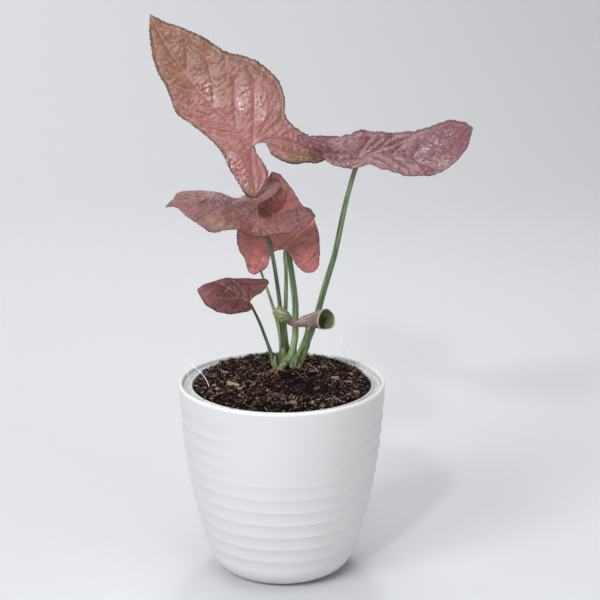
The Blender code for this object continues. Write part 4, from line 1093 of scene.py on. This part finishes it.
# Leaf B, the broad one on the right: mauve pink, its veins fanning out from the joint
flat_leaf("b", {
    "joint": (49.6, -7.0, 279.9), "tip": (122.2, 7.0, 297.2), "facing": (-0.1, -0.35, 0.93),
    "midrib": [(69, -1), (60, -8), (48.5, -8), (38, -3.5), (24, -0.5), (11.5, 1)],
    "left": {
        "outer": [(72.5, 11.5), (65.5, 22), (56.5, 24.5), (44.5, 25.5), (31.5, 27), (17.5, 27),
            (11, 29.5), (1.5, 26.5), (-14.5, 24.5), (-26, 22)],
        "inner": [(-33, 12), (-26, 8.8), (-17, 7.8), (-8, 7.2)],
        "tip": (-34, 19), "vein": [(-6, 10), (-20, 14)], "lift": 14.0, "reach": 33, "tuck": 2.6},
    "right": {
        "outer": [(72, -6.5), (67.5, -12.5), (60, -18), (52.5, -22.5), (39.5, -29.5), (27.5, -34),
            (17.5, -30), (9, -20), (2, -13), (-9.5, -15), (-16, -13.5), (-21, -8)],
        "inner": [(-22.0, 6.5), (-16, 9.6), (-8, 8.6)],
        "tip": (-23.5, 0), "vein": [(-8, -3), (-17, -2)], "lift": 8.0, "reach": 25, "tuck": -0.7},
    "width": 33, "belly": -11.0, "peak": 1.5, "fold": 0.12, "fine": 0.5, "columns": 40, "sweep": 14.0,
    "laterals": (0.25, 0.42, 0.58, 0.74, 0.88), "seed": 5.0, "swell": 0.7, "crinkle": 1.1, "pucker": 0.45,
    "ragged": 0.62,
    "veins": [[(-1, 1), (12.5, 19)], [(1, 2), (20.5, 19)], [(4.5, 1.5), (35.5, 17.5)], [(8.5, 1.5),
        (30.5, 3.5)], [(-1.5, 2.5), (-7, 9.5), (-18, 19)], [(44.5, -9.5), (60.5, -5), (65, -5),
        (69.5, 0)]],
    "green": [(-22, 14, 5, 0.25)],
    "blush_and_painted_light": [(12, -20, 14, 0.7), (30, -24, 12, 0.5)],
    "wet": [(28, -14, 5, 0.8), (37, -7, 6, 1.0), (44, 3, 6, 1.0), (53, 5, 6, 1.0), (62, 8, 5, 0.8),
        (-20, 17, 5, 0.7), (-10, 13, 4, 0.6), (2, -12, 4, 0.9), (-9, -13, 4, 0.9), (-17, -11, 4, 0.9),
        (50, -16, 5, 0.6)],
    "dark": [(-2, 4, 2.5, 0.8), (-6, 7, 2.5, 1.0), (-11, 8.5, 2.5, 1.0), (-17, 8.5, 2.5, 1.0),
        (-23, 8.5, 2.5, 0.7), (10, -7, 4, 0.5), (18, -9, 4, 0.5), (26, -10, 4, 0.4), (6, 10, 3, 0.5),
        (16, 10, 3, 0.5), (26, 9, 4, 0.4)],
    "skin": {"near": (0.205, 0.066, 0.08), "far": (0.205, 0.075, 0.09), "turns": (15, 70),
        "vein": (0.4, 0.18, 0.2), "edge": (0.08, 0.036, 0.032), "edge_width": 0.5, "edge_share": 0.65,
        "green": (0.14, 0.11, 0.05), "blush_and_painted_light": (0.27, 0.07, 0.08), "gloss": 0.4, "bumpy": 0.6},
    "back": ((0.27, 0.15, 0.135), (0.36, 0.21, 0.18))})

# Leaf C, arched over to the left, brownish mauve, with a paler patch on its near half
flat_leaf("c", {
    "joint": (-15.6, -5.0, 238.5), "tip": (-73.8, -8.0, 248.5), "facing": (0.05, -0.42, 0.9),
    "midrib": [(50, -4), (36, -7), (22, -3), (10, 0.5)],
    "left": {
        "outer": [(52.5, 1.5), (44.5, 11), (36.5, 17.5), (29, 22.5), (20, 19.5), (12, 15), (3.5, 14.5),
            (-6.5, 12.5), (-16, 9), (-25, 5.4), (-31, 3.3)],
        "inner": [(-32.5, 0.7), (-28, 0.3), (-20.5, 0), (-12, 0.5), (-4, 1)],
        "tip": (-36, 1.6), "vein": [(-8, 6), (-20, 4.0), (-29, 2.0)], "lift": 2.0, "reach": 36},
    "right": {
        "outer": [(56, -6), (52, -14.5), (44.5, -16), (32, -15.5), (22, -16), (14, -15.5), (9.5, -20),
            (-1, -27), (-7, -29)],
        "inner": [(-10, -13), (-6.5, -9.5), (0, -6.5), (1.5, -2.5)],
        "tip": (-12, -21.5), "vein": [(4, -9), (-2, -18)], "lift": 19.0, "reach": 30, "start": 18},
    "width": 25, "belly": 7.0, "fold": -0.15, "fine": 0.45, "columns": 32, "sweep": 12.0,
    "laterals": (0.2, 0.34, 0.48, 0.62, 0.76, 0.9), "seed": 8.0, "swell": 0.6, "crinkle": 0.6,
    "pucker": 0.4, "ragged": 0.38,
    "veins": [[(0.5, 3.5), (-1.5, -5), (-7, -19)], [(0.5, 3.5), (-11.5, 4), (-20.5, 2), (-29, 1)],
        [(0.5, 3.5), (-9, 10)], [(0.5, 3.5), (4, 12)], [(3, 2.5), (14, 8), (24, 10)]],
    "green": [(12, -4, 8, 0.4), (19, -8, 7, 0.3)],
    "blush_and_painted_light": [(27, 15, 5, 0.7), (22, 16, 5, 0.9), (17, 15.5, 4, 0.8)],
    "wet": [(4, 13, 3, 0.9), (-1.5, 12, 3, 1.0), (-9, 11.5, 3, 1.0), (24, -6, 5, 0.6), (33, -9, 5, 0.6),
        (-26, 4, 4, 0.7)],
    "dark": [(36, -2, 5, 1.0), (30, -3, 5, 1.0), (24, -4, 5, 1.0), (18, -6, 5, 1.0), (12, -5, 5, 1.0),
        (6, -3, 4, 0.9), (36, -10, 4, 0.5), (28, -12, 4, 0.5), (-7, 3, 3, 0.4)],
    "skin": {"near": (0.28, 0.104, 0.1), "far": (0.255, 0.103, 0.1), "turns": (0, 40),
        "vein": (0.31, 0.14, 0.125), "edge": (0.09, 0.045, 0.036), "edge_width": 0.45, "edge_share": 0.6,
        "green": (0.075, 0.037, 0.03), "blush_and_painted_light": (0.33, 0.25, 0.17), "gloss": 0.38, "bumpy": 0.6},
    "back": ((0.26, 0.145, 0.125), (0.34, 0.21, 0.17))})

# Leaf D, upright behind the middle of the plant: the reddest, blotched with brighter pink, and painted
# lighter where leaf C shades it
flat_leaf("d", {
    "joint": (2.0, 13.0, 215.2), "tip": (-6.4, 24.0, 265.2), "facing": (0.0, -0.97, 0.15),
    "midrib": [(35, 0.5), (25, 1.5)],
    "left": {
        "outer": [(45.5, 5), (39, 11.5), (31, 19), (22.5, 26), (14, 29.5), (4, 29.5), (-1, 27),
            (-9.5, 26)],
        "inner": [(-10.5, 15.5), (-7.5, 12.5), (-3.5, 10.5), (0, 7), (0.5, 2.5)],
        "tip": (-13, 22.5), "vein": [(2, 9), (-5, 17)], "lift": -2.0, "reach": 18, "curl": -3.0},
    "right": {
        "outer": [(49, -5), (43.5, -8.5), (37.5, -11.5), (31.5, -14), (26.5, -16.5), (18.5, -21.5),
            (8, -23.5), (-3.5, -22.5), (-14, -20)],
        "inner": [(-16.5, -10.5), (-11.5, -6), (-5, -3)],
        "tip": (-17.5, -16), "vein": [(-7, -8)], "lift": -2.0, "reach": 18, "curl": -3.0},
    "width": 25, "belly": 3.0, "fold": 0.12, "fine": 0.42, "columns": 32, "sweep": 10.0,
    "laterals": (0.3, 0.45, 0.6, 0.75, 0.9), "seed": 11.0, "swell": 0.7, "crinkle": 1.1, "pucker": 0.45,
    "ragged": 0.38,
    "veins": [[(0.5, 0), (6, -7.5), (8.5, -10), (14, -20.5)]],
    "green": [(27, -13, 8, 0.3)],
    # Most blush patches are brighter pink blotches; those at (34, -5), (27, -4) and (20, -2) are painted
    # light on the part of the blade that leaf C shades.
    "blush_and_painted_light": [(2, 18, 5, 1.0), (-3, 15, 4, 1.0), (-6, 12, 4, 0.9), (-5, 20, 4, 0.8), (-10, 23, 3, 0.9),
        (-14, -18, 4, 1.0), (34, -5, 6, 0.6), (27, -4, 6, 0.8), (20, -2, 5, 0.8), (-8, -13, 4, 0.5)],
    "wet": [(38, -7, 4, 0.6), (1, 20, 3, 0.5), (-5, 16, 3, 0.6)],
    "dark": [(0, 12, 3, 0.6), (-1, 22, 3, 0.4), (-3, -6, 4, 0.4), (10, -16, 4, 0.3), (20, -4, 4, 0.4)],
    "skin": {"near": (0.455, 0.147, 0.126), "far": (0.345, 0.112, 0.11), "turns": (10, 50),
        "vein": (0.58, 0.3, 0.24), "edge": (0.11, 0.045, 0.036), "edge_width": 0.62, "edge_share": 0.8,
        "green": (0.22, 0.15, 0.07), "blush_and_painted_light": (0.82, 0.235, 0.255), "gloss": 0.38, "bumpy": 0.8},
    "back": ((0.28, 0.14, 0.12), (0.36, 0.2, 0.16))})

# Leaf E, the smallest flat one, low on the left: dark red brown
flat_leaf("e", {
    "joint": (-20.2, -8.0, 185.0), "tip": (-53.9, -8.0, 194.8), "facing": (0.1, -0.75, 0.65),
    "midrib": [(27, -6.5), (16.5, -5.5), (5.5, -2)],
    "left": {
        "outer": [(34.5, 2.5), (29, 10), (23.5, 13), (18, 14), (12, 13.5), (7, 11), (1, 7.5)],
        "inner": [(-1.2, 1.5)],
        "tip": (-2, 4), "vein": []},
    "right": {
        "outer": [(32, -4), (27.5, -6.8), (21.5, -11), (15, -13), (8, -15), (1, -16.5), (-6, -18.5)],
        "inner": [(-6, -10), (-2, -5.5), (0, -2)],
        "tip": (-8.5, -16.5), "vein": [(1, -7), (-4, -13)]},
    "width": 14, "belly": 1.0, "fold": 0.15, "fine": 0.36, "columns": 26, "sweep": 6.0,
    "laterals": (0.35, 0.55, 0.75, 0.92), "seed": 14.0, "swell": 0.45, "crinkle": 0.8, "pucker": 0.3,
    "ragged": 0.32,
    "veins": [[(2.5, -1.5), (8, -0.5), (18, 3.5), (25, 4.5)]],
    "blush_and_painted_light": [(30, 1.5, 4, 0.9), (26, 6, 4, 0.6)],
    "wet": [(15, -7.5, 3, 1.0), (19, -8, 2.5, 0.7), (33, 1, 2.5, 0.8), (30, 7, 2.5, 0.6)],
    "dark": [(10, 6, 4, 0.4), (20, 8, 4, 0.4), (8, -9, 3, 0.4)],
    "skin": {"near": (0.15, 0.043, 0.042), "far": (0.185, 0.056, 0.054), "turns": (10, 32),
        "vein": (0.36, 0.15, 0.13), "edge": (0.06, 0.025, 0.02), "edge_width": 0.5, "edge_share": 0.8,
        "green": (0.14, 0.11, 0.06), "blush_and_painted_light": (0.4, 0.16, 0.16), "gloss": 0.38, "bumpy": 0.8},
    "back": ((0.23, 0.11, 0.095), (0.32, 0.18, 0.14))})


# Leaf F, still opening: a young blade rolled up lengthwise, pinkish grey outside and mottled
# green inside, its left end a yellow-green cup and its right end flared open. Each step of the
# roll is the middle of its tube and its radius, in millimetres.
ROLL = [
    (-2.6, -4.6, 178.6, 3.4), (-1.2, -7.0, 177.6, 4.1), (1.2, -8.0, 175.8, 4.2), (4.4, -5.0, 172.7, 2.9),
    (8.3, -3.5, 169.6, 1.9), (11.9, -3.5, 170.1, 2.6), (14.5, -3.6, 171.0, 3.6),
    (18.4, -4.4, 172.1, 4.2), (22.9, -6.5, 173.2, 5.4), (27.1, -11.0, 174.6, 6.5),
    (28.9, -13.5, 175.3, 6.8)]
ROLL_STEPS = 109
ROLL_SIDES = 72
ROLL_LENGTH, ROLL_GIRTH = 34.0, 20.0
ROLL_START, ROLL_TURN = 35.0, 372.0
roll_rows = even_curve(ROLL, ROLL_STEPS + 1)
points, marks, faces, from_axis = [], [], [], []
for index, (x, y, z, radius) in enumerate(roll_rows):
    before, after = roll_rows[max(index - 1, 0)], roll_rows[min(index + 1, ROLL_STEPS)]
    along = Vector(after[:3] - before[:3]).normalized()
    up = (Vector((0, 0, 1)) - along * along.z).normalized()
    side = along.cross(up)
    way = index / ROLL_STEPS
    mouth = max(0.0, 1.0 - way / 0.10) ** 2 + max(0.0, (way - 0.92) / 0.08) ** 2
    for step in range(ROLL_SIDES + 1):
        turn = step / ROLL_SIDES
        angle = math.radians(ROLL_START + ROLL_TURN * turn)
        ridge = 0.10 * math.sin(5 * angle + 3 * way) + 0.05 * math.sin(11 * angle)
        ridge += 0.45 * noise.noise(Vector((way * 7.0, math.cos(angle) * 1.3, math.sin(angle) * 1.3)))
        wide = radius * (0.93 + 0.10 * turn) + ridge * min(1.0, radius / 3.0)
        wide += 0.30 * mouth * math.sin(3 * angle + 1.0)
        lip = 0.7 * mouth * (math.sin(2 * angle + 0.6) + 0.4 * math.sin(5 * angle))
        off_axis = (up * math.cos(angle) + side * math.sin(angle)) * wide + along * lip
        points.append((Vector((x, y, z)) + off_axis) * 0.001)
        from_axis.append(off_axis)
        marks.append((way * ROLL_LENGTH, (turn - 0.5) * ROLL_GIRTH, 17.0))
for index in range(ROLL_STEPS):
    for step in range(ROLL_SIDES):
        a = index * (ROLL_SIDES + 1) + step
        faces.append((a, a + 1, a + ROLL_SIDES + 2, a + ROLL_SIDES + 1))
mesh = bpy.data.meshes.new("rolled_young_blade")
mesh.from_pydata(points, [], faces)
marks = np.array(marks, dtype=np.float32)
from_end = np.minimum(marks[:, 0], ROLL_LENGTH - marks[:, 0]) / 1.2
from_side = np.minimum(marks[:, 1] + ROLL_GIRTH / 2, ROLL_GIRTH / 2 - marks[:, 1]) / 0.8
carry(mesh, place=marks, rim=1.0 - np.clip(np.minimum(from_end, from_side), 0.0, 1.0))
if sum(face.normal.dot(from_axis[face.vertices[0]]) for face in mesh.polygons) < 0.0:
    mesh.flip_normals()
skins = []
for name, low, high, cup, pale in (
        ("outside", (0.20, 0.100, 0.095), (0.50, 0.38, 0.35), (0.210, 0.260, 0.090), (0.66, 0.62, 0.58)),
        ("inside", (0.075, 0.110, 0.035), (0.34, 0.42, 0.18), (0.20, 0.24, 0.08), (0.56, 0.60, 0.42))):
    skin = Finish("rolled_blade_" + name)
    skins.append(skin)
    place = skin.reading("place", "Vector")
    way = skin.part(place, "X")
    fleck = skin.grain(place, 1.4, 4.0, 0.65)
    cloud = skin.grain(place, 0.16, 3.0, 0.55)
    colour = skin.mixed(skin.between(0.6 * fleck + 0.4 * cloud, 0.38, 0.62), low, high)
    for share, over in (
            (1.0 - skin.between(way + 6.0 * (cloud - 0.5), 7.0, 11.0), cup),
            (0.75 * skin.between(fleck, 0.52, 0.62), toned(low, 0.30)),
            (0.5 * (1.0 - skin.between(fleck, 0.36, 0.45)), pale),
            (0.85 * skin.reading("rim"), (0.56, 0.50, 0.44))):
        colour = skin.mixed(share, colour, over)
    skin.show(Base_Color=colour, Roughness=0.34 + 0.25 * fleck)
    skin.relief(fleck, 0.0003, 0.9)
rolled = put_in("rolled_young_blade", mesh)
thicken(rolled, skins)
settle(rolled, (), "leaf_f_green", "blade_f")
